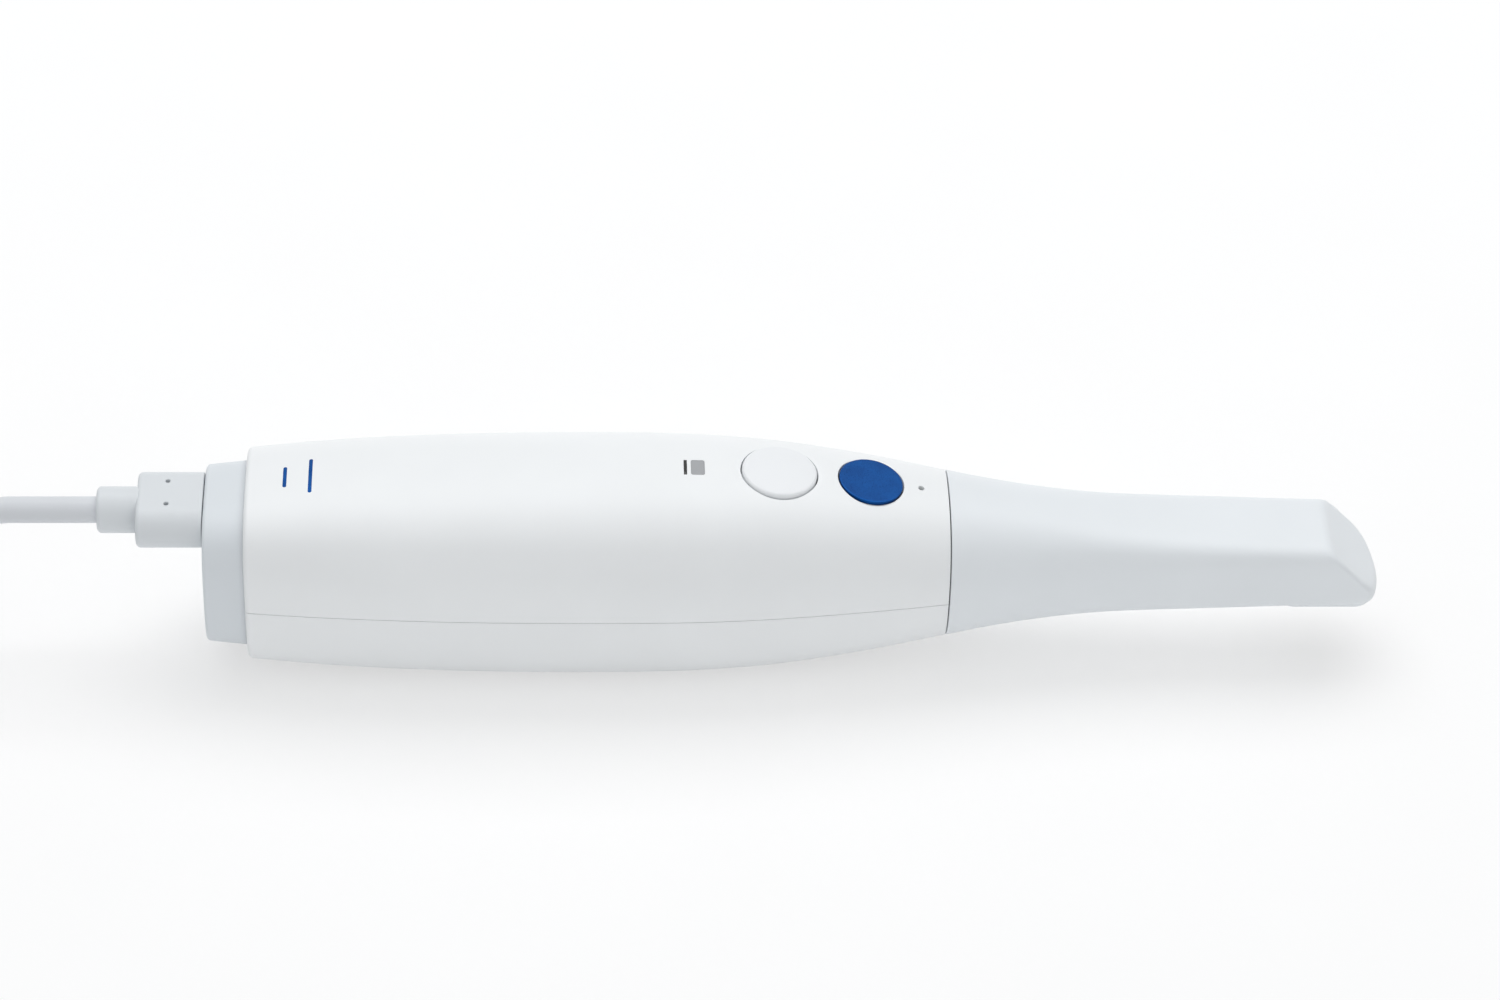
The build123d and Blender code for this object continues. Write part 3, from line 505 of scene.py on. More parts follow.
@dataclass(frozen=True)
class Places:
    """Main sizes in millimetres, and places along the scanner from the back of the rear cap."""

    overall: float = 248.0
    handle_width: float = 44.0
    handle_height: float = 47.4
    head_width: float = 20.0
    head_height: float = 15.5
    sleeve_length: float = 92.25
    wall: float = 2.0
    rim: float = 1.1
    scan_hole: float = 8.2
    confirm_hole: float = 7.1
    plug_rise: float = 11.9
    cap: float = 8.7
    seam: float = 155.5
    sleeve: float = 155.75
    axis: float = 23.7
    parting: float = -0.4
    parting_gap: float = 0.1

    def point(self, station: float, across: float, up: float) -> Vector:
        """Point in metres from a station, a place across and a height above the axis."""
        return Vector((station - self.overall / 2, across, self.axis + up)) * MM


PLACES = Places()


class SmoothTable:
    """Natural cubic spline through a short table, held at its end values outside it."""

    def __init__(self, places: Sequence[float], values: Sequence[float]) -> None:
        self.places = np.asarray(places, float)
        self.values = np.asarray(values, float)
        steps = np.diff(self.places)
        rises = np.diff(self.values) / steps
        count = len(self.places)
        system = np.eye(count)
        right = np.zeros(count)
        for row in range(1, count - 1):
            system[row, row - 1 : row + 2] = steps[row - 1], 2 * (steps[row - 1] + steps[row]), steps[row]
            right[row] = 6 * (rises[row] - rises[row - 1])
        self.bends = np.linalg.solve(system, right)

    def __call__(self, at: np.ndarray) -> np.ndarray:
        """Values at any places."""
        at = np.clip(at, self.places[0], self.places[-1])
        row = np.clip(np.searchsorted(self.places, at) - 1, 0, len(self.places) - 2)
        step = self.places[row + 1] - self.places[row]
        after = (at - self.places[row]) / step
        before = 1 - after
        bend = (before**3 - before) * self.bends[row] + (after**3 - after) * self.bends[row + 1]
        return before * self.values[row] + after * self.values[row + 1] + bend * step**2 / 6


class SectionRule:
    """Rounded sections along the scanner, as a rule for width, height and squareness."""

    def __init__(self, rows: Rows) -> None:
        stations, widths, heights, powers = zip(*rows)
        self.width = SmoothTable(stations, widths)
        self.height = SmoothTable(stations, heights)
        self.power = SmoothTable(stations, powers)

    def reach(self, station: np.ndarray, turn: np.ndarray, inset: np.ndarray | float = 0.0) -> np.ndarray:
        """Distance from the axis to the surface.

        Args:
            station: place along the scanner.
            turn: direction in the section, from +Y towards +Z, in radians.
            inset: how far the section is drawn in.

        Returns:
            The distances in millimetres.
        """
        half_width = self.width(station) / 2 - inset
        half_height = self.height(station) / 2 - inset
        power = self.power(station)
        sides = np.abs(np.cos(turn) / half_width) ** power + np.abs(np.sin(turn) / half_height) ** power
        return sides ** (-1 / power)

    def level(self, points: np.ndarray, inset: float = 0.0) -> np.ndarray:
        """How far points stand out of the surface, measured from the axis.

        Args:
            points: station, across and up in columns.
            inset: how far the sections are drawn in.

        Returns:
            Distances in millimetres, negative inside.
        """
        turn = np.arctan2(points[:, 2], points[:, 1])
        return np.hypot(points[:, 1], points[:, 2]) - self.reach(points[:, 0], turn, inset)


def outward(level: Field, points: np.ndarray, step: float = 0.01) -> np.ndarray:
    """Unit normals of a level field.

    Args:
        level: the field, which takes points in rows.
        points: where the normals are wanted.
        step: half the distance over which the slope is taken.

    Returns:
        One normal a row.
    """
    slope = np.empty_like(points)
    for axis in range(3):
        shift = np.zeros(3)
        shift[axis] = step
        slope[:, axis] = level(points + shift) - level(points - shift)
    return slope / np.linalg.norm(slope, axis=1)[:, None]


def handle_rule() -> SectionRule:
    """Rule of the handle's outer form, from shares of its full size."""
    shares = (
        (0.000, 0.855, 0.852, 3.20),
        (0.070, 0.898, 0.892, 3.12),
        (0.145, 0.934, 0.930, 3.03),
        (0.254, 0.972, 0.962, 2.95),
        (0.377, 0.994, 0.990, 2.86),
        (0.500, 1.000, 1.000, 2.80),
        (0.608, 0.993, 0.999, 2.75),
        (0.685, 0.972, 0.983, 2.70),
        (0.756, 0.937, 0.952, 2.65),
        (0.822, 0.892, 0.905, 2.58),
        (0.888, 0.840, 0.842, 2.52),
        (0.946, 0.789, 0.773, 2.46),
        (1.000, 0.737, 0.705, 2.40),
    )
    start = PLACES.cap + PLACES.rim
    run = PLACES.seam - start
    width, height = PLACES.handle_width, PLACES.handle_height
    return SectionRule([(start + s * run, width * w, height * h, n) for s, w, h, n in shares])


def sleeve_rule(handle: SectionRule) -> SectionRule:
    """Rule of the sleeve's outer form, from shares between the handle's size at the seam and the head's."""
    head_width, head_height = PLACES.head_width, PLACES.head_height
    extra_width = float(handle.width.values[-1]) - head_width
    extra_height = float(handle.height.values[-1]) - head_height
    shares = (
        (0.000, 1.000, 1.000, 2.40),
        (0.068, 0.835, 0.862, 2.38),
        (0.133, 0.661, 0.742, 2.42),
        (0.198, 0.492, 0.622, 2.55),
        (0.263, 0.347, 0.502, 2.80),
        (0.328, 0.240, 0.390, 3.15),
        (0.415, 0.165, 0.287, 3.60),
        (0.534, 0.113, 0.190, 4.30),
        (0.675, 0.073, 0.105, 5.00),
        (0.827, 0.032, 0.038, 5.50),
        (1.000, 0.000, 0.000, 5.80),
    )
    rows = []
    for share, width, height, power in shares:
        station = PLACES.sleeve + share * PLACES.sleeve_length
        rows.append((station, head_width + extra_width * width, head_height + extra_height * height, power))
    return SectionRule(rows)


HANDLE = handle_rule()
SLEEVE = sleeve_rule(HANDLE)


class Draft:
    """Mesh under construction: rows of station, across and up in millimetres, and faces."""

    def __init__(self) -> None:
        self.points: list[np.ndarray] = []
        self.faces: list[Sequence[int]] = []
        self.count = 0

    def add(self, points: np.ndarray) -> np.ndarray:
        """Adds points.

        Args:
            points: rows of station, across and up; more axes than two keep their shape.

        Returns:
            The indices of the points, in the shape of the rows.
        """
        flat = np.asarray(points, float).reshape(-1, 3)
        indices = np.arange(self.count, self.count + len(flat))
        self.points.append(flat)
        self.count += len(flat)
        return indices.reshape(np.shape(points)[:-1])

    def strip(self, first: Sequence[int], second: Sequence[int], closed: bool = True) -> None:
        """Adds a row of four-sided faces between two lines of points of the same count."""
        count = len(first)
        for here in range(count if closed else count - 1):
            after = (here + 1) % count
            self.faces.append((first[here], first[after], second[after], second[here]))

    def loft(self, rings: Sequence[Sequence[int]], closed: bool = True) -> None:
        """Adds the faces between each ring and the next."""
        for first, second in zip(rings, rings[1:]):
            self.strip(first, second, closed)

    def cover(self, ring: Sequence[int], centre: Sequence[float] | None = None) -> None:
        """Closes a ring by one face, or by a fan round a centre."""
        if centre is None:
            self.faces.append(list(ring))
            return
        middle = int(self.add(np.array([centre]))[0])
        for here, after in zip(ring, np.roll(ring, -1)):
            self.faces.append((here, after, middle))

    def mesh(self, name: str, soft_edges: Field | None = None, radius: float = 0.25) -> bpy.types.Mesh:
        """Makes the mesh, closed and facing outwards.

        Args:
            name: name of the mesh.
            soft_edges: tells for each point whether its sharp edges are rounded.
            radius: radius of those edges in millimetres.

        Returns:
            The mesh in metres, in the frame of the part.
        """
        points = np.vstack(self.points)
        mesh = bpy.data.meshes.new(name)
        metres = points * MM + np.array(PLACES.point(0.0, 0.0, 0.0))
        mesh.from_pydata(metres.tolist(), [], [[int(i) for i in face] for face in self.faces])
        bm = bmesh.new()
        bm.from_mesh(mesh)
        bmesh.ops.remove_doubles(bm, verts=bm.verts, dist=WELD * MM)
        bmesh.ops.recalc_face_normals(bm, faces=bm.faces)
        if soft_edges is not None:
            round_edges(bm, soft_edges, radius)
        bm.to_mesh(mesh)
        bm.free()
        return mesh


def round_edges(bm: bmesh.types.BMesh, chosen: Field, radius: float, steps: int = 3) -> None:
    """Rounds the sharp edges whose two ends are chosen.

    Args:
        bm: the mesh in metres.
        chosen: takes points as station, across and up and tells which count.
        radius: radius in millimetres.
        steps: faces across the rounding.
    """
    places = np.array([vertex.co for vertex in bm.verts]) / MM - np.array(PLACES.point(0.0, 0.0, 0.0)) / MM
    flags = chosen(places)
    bm.verts.index_update()
    sharp = [
        edge
        for edge in bm.edges
        if len(edge.link_faces) == 2
        and edge.calc_face_angle(0.0) > math.radians(ROUNDED_ANGLE)
        and all(flags[vertex.index] for vertex in edge.verts)
    ]
    offset = radius * MM
    bmesh.ops.bevel(
        bm, geom=sharp, offset=offset, segments=steps, profile=0.5, affect="EDGES", clamp_overlap=True
    )


def place_piece(
    mesh: bpy.types.Mesh,
    body: Body,
    slot: Slot,
    palette: Palette,
    nodes: Sequence[str] = (),
    sharp: float = SHARP_ANGLE,
) -> bpy.types.Object:
    """Makes a finished piece of a mesh.

    Args:
        mesh: its mesh, in metres in the part's frame.
        body: the body that it rides on.
        slot: the slot of its finish.
        palette: the finishes.
        nodes: the CAD nodes that it stands for.
        sharp: angle in degrees from which an edge stays sharp.

    Returns:
        The piece.
    """
    mesh.polygons.foreach_set("use_smooth", [True] * len(mesh.polygons))
    if not mesh.has_custom_normals:
        mesh.set_sharp_from_angle(angle=math.radians(sharp))
    piece = bpy.data.objects.new(mesh.name, mesh)
    bpy.context.scene.collection.objects.link(piece)
    palette.dress(piece, slot)
    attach(piece, body.value)
    if nodes:
        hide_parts(*nodes)
    log.info("%s: %d faces on %s", piece.name, len(mesh.polygons), body.value)
    return piece


def evaluated(piece: bpy.types.Object, name: str) -> bpy.types.Mesh:
    """Mesh of an object with its modifiers applied; the object itself is removed.

    Args:
        piece: the object.
        name: name of the new mesh.

    Returns:
        The plain mesh.
    """
    bpy.context.view_layer.update()
    graph = bpy.context.evaluated_depsgraph_get()
    mesh = bpy.data.meshes.new_from_object(piece.evaluated_get(graph))
    old = piece.data
    bpy.data.objects.remove(piece)
    if old.users == 0 and isinstance(old, bpy.types.Mesh):
        bpy.data.meshes.remove(old)
    mesh.name = name
    return mesh


def combined(mesh: bpy.types.Mesh, steps: Sequence[tuple[bpy.types.Mesh, str]]) -> bpy.types.Mesh:
    """Adds solids to a solid, or cuts them from it.

    Args:
        mesh: the first solid.
        steps: pairs of a closed mesh and DIFFERENCE or UNION.

    Returns:
        The mesh of the result.
    """
    name = mesh.name
    piece = bpy.data.objects.new(name, mesh)
    bpy.context.scene.collection.objects.link(piece)
    tools = []
    for tool_mesh, operation in steps:
        tool = bpy.data.objects.new("cutter", tool_mesh)
        bpy.context.scene.collection.objects.link(tool)
        modifier = piece.modifiers.new(operation, "BOOLEAN")
        modifier.object = tool
        modifier.operation = operation
        modifier.solver = "MANIFOLD"
        tools.append(tool)
    result = evaluated(piece, name)
    for tool in tools:
        data = tool.data
        bpy.data.objects.remove(tool)
        bpy.data.meshes.remove(data)
    return result


def prism(name: str, outline: np.ndarray, place: Field, low: float, high: float) -> bpy.types.Mesh:
    """Closed prism of an outline.

    Args:
        name: name of the mesh.
        outline: two columns, in order round the outline.
        place: turns rows of two outline columns and a height into station, across and up.
        low: height of the lower face.
        high: height of the upper face.

    Returns:
        The mesh.
    """
    draft = Draft()
    rings = []
    for height in (low, high):
        rows = np.column_stack([outline, np.full(len(outline), height)])
        rings.append(draft.add(place(rows)))
    draft.loft(rings)
    draft.cover(rings[0])
    draft.cover(rings[1])
    return draft.mesh(name)


def rounded_outline(length: float, width: float, corner: float, steps: int = 8) -> np.ndarray:
    """Outline of a rectangle with round corners, in order round it."""
    rows = []
    for quarter in range(4):
        angle = math.pi / 2 * quarter
        side_x = 1 if quarter in (0, 3) else -1
        side_y = 1 if quarter in (0, 1) else -1
        centre = (side_x * (length / 2 - corner), side_y * (width / 2 - corner))
        for step in range(steps + 1):
            turn = angle + math.pi / 2 * step / steps
            rows.append((centre[0] + corner * math.cos(turn), centre[1] + corner * math.sin(turn)))
    return np.array(rows)


def turned(name: str, profile: Rows, place: Field, around: int) -> bpy.types.Mesh:
    """Closed body of revolution.

    Args:
        name: name of the mesh.
        profile: radius and height pairs; a radius of zero closes an end.
        place: turns rows of two plane columns and a height into station, across and up.
        around: points in each ring.

    Returns:
        The mesh.
    """
    draft = Draft()
    turns = 2 * math.pi * np.arange(around) / around
    rings: list[np.ndarray] = []
    for radius, height in profile:
        if radius == 0:
            continue
        rows = np.column_stack([radius * np.cos(turns), radius * np.sin(turns), np.full(around, height)])
        rings.append(draft.add(place(rows)))
    draft.loft(rings)
    for ring, (radius, height) in ((rings[0], profile[0]), (rings[-1], profile[-1])):
        if radius == 0:
            draft.cover(ring, place(np.array([[0.0, 0.0, height]]))[0])
        else:
            draft.cover(ring)
    return draft.mesh(name)


def arc(
    centre: Sequence[float], radius: float, start: float, end: float, steps: int
) -> list[tuple[float, float]]:
    """Points of an arc in a profile, from one angle in degrees to another."""
    angles = (math.radians(start + (end - start) * step / steps) for step in range(steps + 1))
    return [(centre[0] + radius * math.cos(a), centre[1] + radius * math.sin(a)) for a in angles]


@dataclass(frozen=True)
class CrownPlane:
    """Plane that touches the handle's crown at a station."""

    station: float
    height: float
    tilt: float

    def place(self, rows: np.ndarray) -> np.ndarray:
        """Station, across and up of rows of forward, across and height in the plane."""
        lean = math.radians(self.tilt)
        station = self.station + rows[:, 0] * math.cos(lean) + rows[:, 2] * math.sin(lean)
        up = self.height - rows[:, 0] * math.sin(lean) + rows[:, 2] * math.cos(lean)
        return np.column_stack([station, rows[:, 1], up])

    def flat(self, points: np.ndarray) -> np.ndarray:
        """Forward, across and height in the plane of rows of station, across and up."""
        lean = math.radians(self.tilt)
        forward = points[:, 0] - self.station
        rise = points[:, 2] - self.height
        along = forward * math.cos(lean) - rise * math.sin(lean)
        return np.column_stack([along, points[:, 1], forward * math.sin(lean) + rise * math.cos(lean)])

    def drop(self, rows: np.ndarray, inset: float = 0.0) -> np.ndarray:
        """Height in the plane at which the handle's surface lies.

        Args:
            rows: forward and across in the plane.
            inset: how far the surface is drawn in.

        Returns:
            Heights, one a row.
        """
        low = np.full(len(rows), DROP_RANGE[0])
        high = np.full(len(rows), DROP_RANGE[1])
        for _ in range(HALVINGS):
            middle = (low + high) / 2
            outside = HANDLE.level(self.place(np.column_stack([rows[:, :2], middle])), inset) > 0
            high = np.where(outside, middle, high)
            low = np.where(outside, low, middle)
        return (low + high) / 2


def crown_plane(station: float) -> CrownPlane:
    """Plane that touches the crown at a station."""
    step = 4.0
    heights = HANDLE.height(np.array([station - step, station, station + step])) / 2
    tilt = math.degrees(math.atan((heights[0] - heights[2]) / (2 * step)))
    return CrownPlane(station, float(heights[1]), tilt)


def table_plane(row: int) -> CrownPlane:
    """Plane of a key, worked out as the solids do from three rows of the handle's table."""
    places, heights = HANDLE.height.places, HANDLE.height.values / 2
    tilt = math.atan((heights[row - 1] - heights[row + 1]) / (places[row + 1] - places[row - 1]))
    return CrownPlane(float(places[row]), float(heights[row]), math.degrees(tilt))


SCAN_PLANE = table_plane(8)
CONFIRM_PLANE = table_plane(10)


@dataclass
class KeyHole:
    """Round hole of a key in the upper shell, with its collar and an optional dish."""

    plane: CrownPlane
    radius: float
    block: float
    dish_radius: float = 0.0
    dish_depth: float = 0.0
    dish_slope: float = 0.25
    dish_blend: float = 0.12
    collar_wall: float = 0.9
    collar_depth: float = 4.2

    def lowered(self, rows: np.ndarray) -> np.ndarray:
        """Heights of the outer surface in the plane, with the dish sunk into it."""
        heights = self.plane.drop(rows)
        if not self.dish_depth:
            return heights
        far = np.hypot(rows[:, 0], rows[:, 1])
        flat = self.dish_radius - self.dish_depth / self.dish_slope
        dish = -self.dish_depth + np.clip(far - flat, 0, None) * self.dish_slope
        blend = self.dish_blend
        share = np.clip(0.5 + (dish - heights) / (2 * blend), 0, 1)
        return heights * share + dish * (1 - share) - blend * share * (1 - share)


@dataclass
class UpperShell:
    """Upper half of the handle, with key holes, status slot, badge seat and pinhole."""

    wall: float = PLACES.wall
    rim: float = PLACES.rim
    parting: float = PLACES.parting + PLACES.parting_gap / 2
    around: int = 112
    lip: float = 0.3
    pitch: float = 1.0
    slot_setback: float = 19.7
    slot_size: tuple[float, float] = (0.7, 4.7)
    badge_setback: float = 17.1
    badge_size: tuple[float, float] = (2.9, 4.7)
    badge_corner: float = 0.5
    badge_depth: float = 0.3
    pinhole_station: float = 149.8
    pinhole_radius: float = 0.65
    pinhole_depth: float = 2.6
    pinhole_flare: float = 0.16
    pinhole_sink: float = 0.08
    block_margin: float = 0.35
    block_shares: tuple[float, float] = (0.35, 0.7)
    slot_corner: float = 0.12
    slot_depth: float = 3.0
    overrun: float = 1.0
    holes: list[KeyHole] = field(
        default_factory=lambda: [
            KeyHole(SCAN_PLANE, PLACES.scan_hole, block=10.95, dish_radius=10.2, dish_depth=0.35),
            KeyHole(CONFIRM_PLANE, PLACES.confirm_hole, block=8.4),
        ]
    )

    def stations(self) -> tuple[np.ndarray, np.ndarray]:
        """Stations of the rings and how far each is drawn in at the rear rim."""
        angles = np.radians(np.linspace(0, 90, 8))[:-1]
        start = PLACES.cap + self.rim
        scan, confirm = self.holes
        marks = [
            start,
            scan.plane.station - scan.block,
            scan.plane.station + scan.block,
            confirm.plane.station + confirm.block,
            PLACES.seam,
        ]
        body = [np.linspace(a, b, round((b - a) / self.pitch) + 1)[:-1] for a, b in zip(marks, marks[1:])]
        rear = start - self.rim * np.cos(angles)
        stations = np.concatenate([rear, *body, [PLACES.seam]])
        insets = np.zeros(len(stations))
        insets[: len(rear)] = self.rim * (1 - np.sin(angles))
        return stations, insets

    def ring(self, station: float, inset: float) -> np.ndarray:
        """One row of points from the near parting edge over the crown to the far one."""
        half = float(HANDLE.width(np.array([station]))[0]) / 2 - inset
        first = math.atan2(self.parting, half)
        turns = np.linspace(math.pi - first, first, self.around + 1)
        reach = HANDLE.reach(np.full(len(turns), station), turns, inset)
        return np.column_stack([np.full(len(turns), station), reach * np.cos(turns), reach * np.sin(turns)])

    def skins(self) -> tuple[np.ndarray, np.ndarray]:
        """Outer and inner grids of points, ring by ring."""
        stations, insets = self.stations()
        outer = np.array([self.ring(s, i) for s, i in zip(stations, insets)])
        inner = np.array([self.ring(s, self.wall) for s in stations])
        return outer, inner

    def block_of(self, hole: KeyHole, grid: np.ndarray) -> tuple[int, int, int, int]:
        """First and last ring, and first and last point across, of the block round a hole."""
        stations = grid[:, 0, 0]
        centre = hole.plane.station
        first = int(np.argmin(np.abs(stations - (centre - hole.block))))
        last = int(np.argmin(np.abs(stations - (centre + hole.block))))
        across = grid[(first + last) // 2, :, 1]
        crown = grid[(first + last) // 2, :, 2] > 0
        near = int(np.argmin(np.where(crown, np.abs(across + hole.block), np.inf)))
        return first, last, near, self.around - near

    def fill_block(
        self, draft: Draft, hole: KeyHole, edge: np.ndarray, points: np.ndarray, inner: bool
    ) -> np.ndarray:
        """Rings of points from a block's edge to the hole.

        Args:
            draft: the mesh under construction.
            hole: the hole.
            edge: indices round the block.
            points: places of those indices.
            inner: True for the skin inside the wall, which ends at the collar.

        Returns:
            Indices of the last ring.
        """
        flat = hole.plane.flat(points)
        turns = np.arctan2(flat[:, 1], flat[:, 0])
        target = hole.radius + (hole.collar_wall if inner else 0.0)
        circle = np.column_stack([np.cos(turns), np.sin(turns)])
        widest = hole.block - self.block_margin
        radii = np.linspace(widest, target, 7 if hole.dish_depth and not inner else 3)
        rings = [edge]
        for share in self.block_shares:
            rows = flat[:, :2] * (1 - share) + circle * widest * share
            rings.append(self.drop_ring(draft, hole, rows, inner))
        for radius in radii:
            rings.append(self.drop_ring(draft, hole, circle * radius, inner))
        draft.loft(rings)
        return rings[-1]

    def drop_ring(self, draft: Draft, hole: KeyHole, rows: np.ndarray, inner: bool) -> np.ndarray:
        """Adds one ring of a block on the outer or inner surface."""
        heights = hole.plane.drop(rows, self.wall) if inner else hole.lowered(rows)
        return draft.add(hole.plane.place(np.column_stack([rows, heights])))

    def collar(
        self, draft: Draft, hole: KeyHole, top: np.ndarray, low: np.ndarray, turns: np.ndarray
    ) -> None:
        """Wall of a hole from its upper edge down, round the collar's foot and up to the inner skin."""
        circle = np.column_stack([np.cos(turns), np.sin(turns)])
        depth = np.full(len(turns), -hole.collar_depth)
        rings = [top]
        for radius in (hole.radius, hole.radius + hole.collar_wall):
            rings.append(draft.add(hole.plane.place(np.column_stack([circle * radius, depth]))))
        rings.append(low)
        draft.loft(rings)

    def build(self, palette: Palette) -> bpy.types.Object:
        """Makes the shell.

        Args:
            palette: the finishes.

        Returns:
            The piece.
        """
        draft = Draft()
        grids = self.skins()
        indices = [draft.add(grid) for grid in grids]
        blocks = [self.block_of(hole, grids[0]) for hole in self.holes]
        for index in indices:
            self.sheet(draft, index, blocks)
        outer, inner = indices
        draft.strip(outer[0], inner[0], False)
        draft.strip(outer[-1], inner[-1], False)
        draft.strip(outer[:, 0], inner[:, 0], False)
        draft.strip(outer[:, -1], inner[:, -1], False)
        for hole, (first, last, near, far) in zip(self.holes, blocks):
            ends, turns = [], []
            for grid, index, inner_side in zip(grids, indices, (False, True)):
                edge = self.edge_of(index, first, last, near, far)
                points = self.edge_of(grid, first, last, near, far)
                flat = hole.plane.flat(points)
                turns.append(np.arctan2(flat[:, 1], flat[:, 0]))
                ends.append(self.fill_block(draft, hole, edge, points, inner_side))
            self.collar(draft, hole, ends[0], ends[1], (turns[0] + turns[1]) / 2)
        mesh = draft.mesh("upper_cover", near_skin, self.lip)
        mesh = combined(mesh, [(cutter, "DIFFERENCE") for cutter in self.cutters()])
        polish(mesh, HANDLE.level)
        return place_piece(mesh, Body.HANDLE, Slot.BODY_WHITE, palette, ["upper_shell"])

    def edge_of(self, grid: np.ndarray, first: int, last: int, near: int, far: int) -> np.ndarray:
        """Entries of a grid in order round a block."""
        return np.concatenate(
            [
                grid[first, near:far],
                grid[first:last, far],
                grid[last, far:near:-1],
                grid[last:first:-1, near],
            ]
        )

    def sheet(self, draft: Draft, index: np.ndarray, blocks: Sequence[tuple[int, int, int, int]]) -> None:
        """Faces of one skin, left open over the blocks."""
        for ring in range(index.shape[0] - 1):
            for place in range(index.shape[1] - 1):
                if any(f <= ring < l and n <= place < r for f, l, n, r in blocks):
                    continue
                here, after = index[ring], index[ring + 1]
                draft.faces.append((here[place], after[place], after[place + 1], here[place + 1]))

    def cutters(self) -> list[bpy.types.Mesh]:
        """Cutters of the status slot, the badge's seat and the pinhole."""
        slot_plane = crown_plane(self.slot_station)
        outline = rounded_outline(*self.slot_size, self.slot_corner, 3)
        slot = prism("cut", outline, slot_plane.place, -self.slot_depth, self.overrun)
        badge_plane = crown_plane(self.badge_station)
        seat = rounded_outline(*self.badge_size, self.badge_corner)
        badge = prism("cut", seat, badge_plane.place, -self.badge_depth, self.overrun)
        pin_plane = crown_plane(self.pinhole_station)
        radius, deep, sink, top = self.pinhole_radius, self.pinhole_depth, self.pinhole_sink, self.overrun
        wide = radius + self.pinhole_flare
        profile = [(0, -deep), (radius, -deep), (radius, -sink), (wide, sink), (wide, top), (0, top)]
        pinhole = turned("cut", profile, pin_plane.place, 40)
        return [slot, badge, pinhole]

    @property
    def slot_station(self) -> float:
        """Station of the status slot."""
        return SCAN_PLANE.station - self.slot_setback

    @property
    def badge_station(self) -> float:
        """Station of the badge."""
        return SCAN_PLANE.station - self.badge_setback


def near_skin(places: np.ndarray) -> np.ndarray:
    """Tells which points lie at the handle's outer skin or on its rear rim."""
    return np.abs(HANDLE.level(places)) < PLACES.rim + RIM_MARGIN


def polish(mesh: bpy.types.Mesh, level: Field, reach: float = 0.006) -> None:
    """Gives the faces that lie on a surface that surface's own normals.

    Args:
        mesh: the mesh in metres.
        level: level field of the surface, for station, across and up.
        reach: how far in millimetres a point may lie from the surface.
    """
    mesh.polygons.foreach_set("use_smooth", [True] * len(mesh.polygons))
    mesh.set_sharp_from_angle(angle=math.radians(SHARP_ANGLE))
    places = np.empty(len(mesh.vertices) * 3)
    mesh.vertices.foreach_get("co", places)
    places = places.reshape(-1, 3) / MM - np.array(PLACES.point(0.0, 0.0, 0.0)) / MM
    on_skin = np.abs(level(places)) < reach
    normals = outward(level, places)
    loop_vertex = np.empty(len(mesh.loops), int)
    mesh.loops.foreach_get("vertex_index", loop_vertex)
    starts = np.empty(len(mesh.polygons), int)
    totals = np.empty(len(mesh.polygons), int)
    mesh.polygons.foreach_get("loop_start", starts)
    mesh.polygons.foreach_get("loop_total", totals)
    face_of = np.repeat(np.arange(len(starts)), totals)
    whole = np.minimum.reduceat(on_skin[loop_vertex].astype(int), starts)[face_of].astype(bool)
    wanted = np.where(whole[:, None], normals[loop_vertex], 0.0)
    mesh.normals_split_custom_set(wanted.tolist())


class GeometryBench(NodeBench):
    """Geometry tree under construction, with named inputs."""

    def __init__(self, name: str) -> None:
        super().__init__(bpy.data.node_groups.new(name, "GeometryNodeTree"))
        self.tree.interface.new_socket("Geometry", in_out="INPUT", socket_type="NodeSocketGeometry")
        self.tree.interface.new_socket("Geometry", in_out="OUTPUT", socket_type="NodeSocketGeometry")
        self.entry = self.tree.nodes.new("NodeGroupInput")
        self.exit = self.tree.nodes.new("NodeGroupOutput")
        self.identifiers: dict[str, str] = {}

    def size(self, name: str, kind: str = "NodeSocketFloat") -> bpy.types.NodeSocket:
        """Adds a named input and gives its socket."""
        item = self.tree.interface.new_socket(name, in_out="INPUT", socket_type=kind)
        self.identifiers[name] = item.identifier
        return self.entry.outputs[name]

    def finish(self, geometry: bpy.types.NodeSocket, material: bpy.types.NodeSocket) -> None:
        """Ends the tree with Realize Instances and Set Material."""
        real = self.add("GeometryNodeRealizeInstances", {"Geometry": geometry})
        dressed = self.add("GeometryNodeSetMaterial", {"Geometry": real.outputs[0], "Material": material})
        self.tree.links.new(dressed.outputs[0], self.exit.inputs["Geometry"])

    def run(self, base: bpy.types.Mesh, name: str, values: dict[str, object]) -> bpy.types.Mesh:
        """Runs the tree on a mesh.

        Args:
            base: mesh that the tree starts from.
            name: name of the result.
            values: value of each named input.

        Returns:
            The result as a plain mesh.
        """
        piece = bpy.data.objects.new(name, base)
        bpy.context.scene.collection.objects.link(piece)
        modifier = piece.modifiers.new(name, "NODES")
        modifier.node_group = self.tree
        for key, value in values.items():
            modifier[self.identifiers[key]] = value
        return evaluated(piece, name)


@dataclass(frozen=True)
class RailRow:
    """One ring of a walled form: outer and inner place and size, squareness and the turns it spans."""

    outer_x: float
    outer_width: float
    outer_height: float
    inner_x: float
    inner_width: float
    inner_height: float
    power: float
    outer_first: float
    outer_last: float
    inner_first: float
    inner_last: float


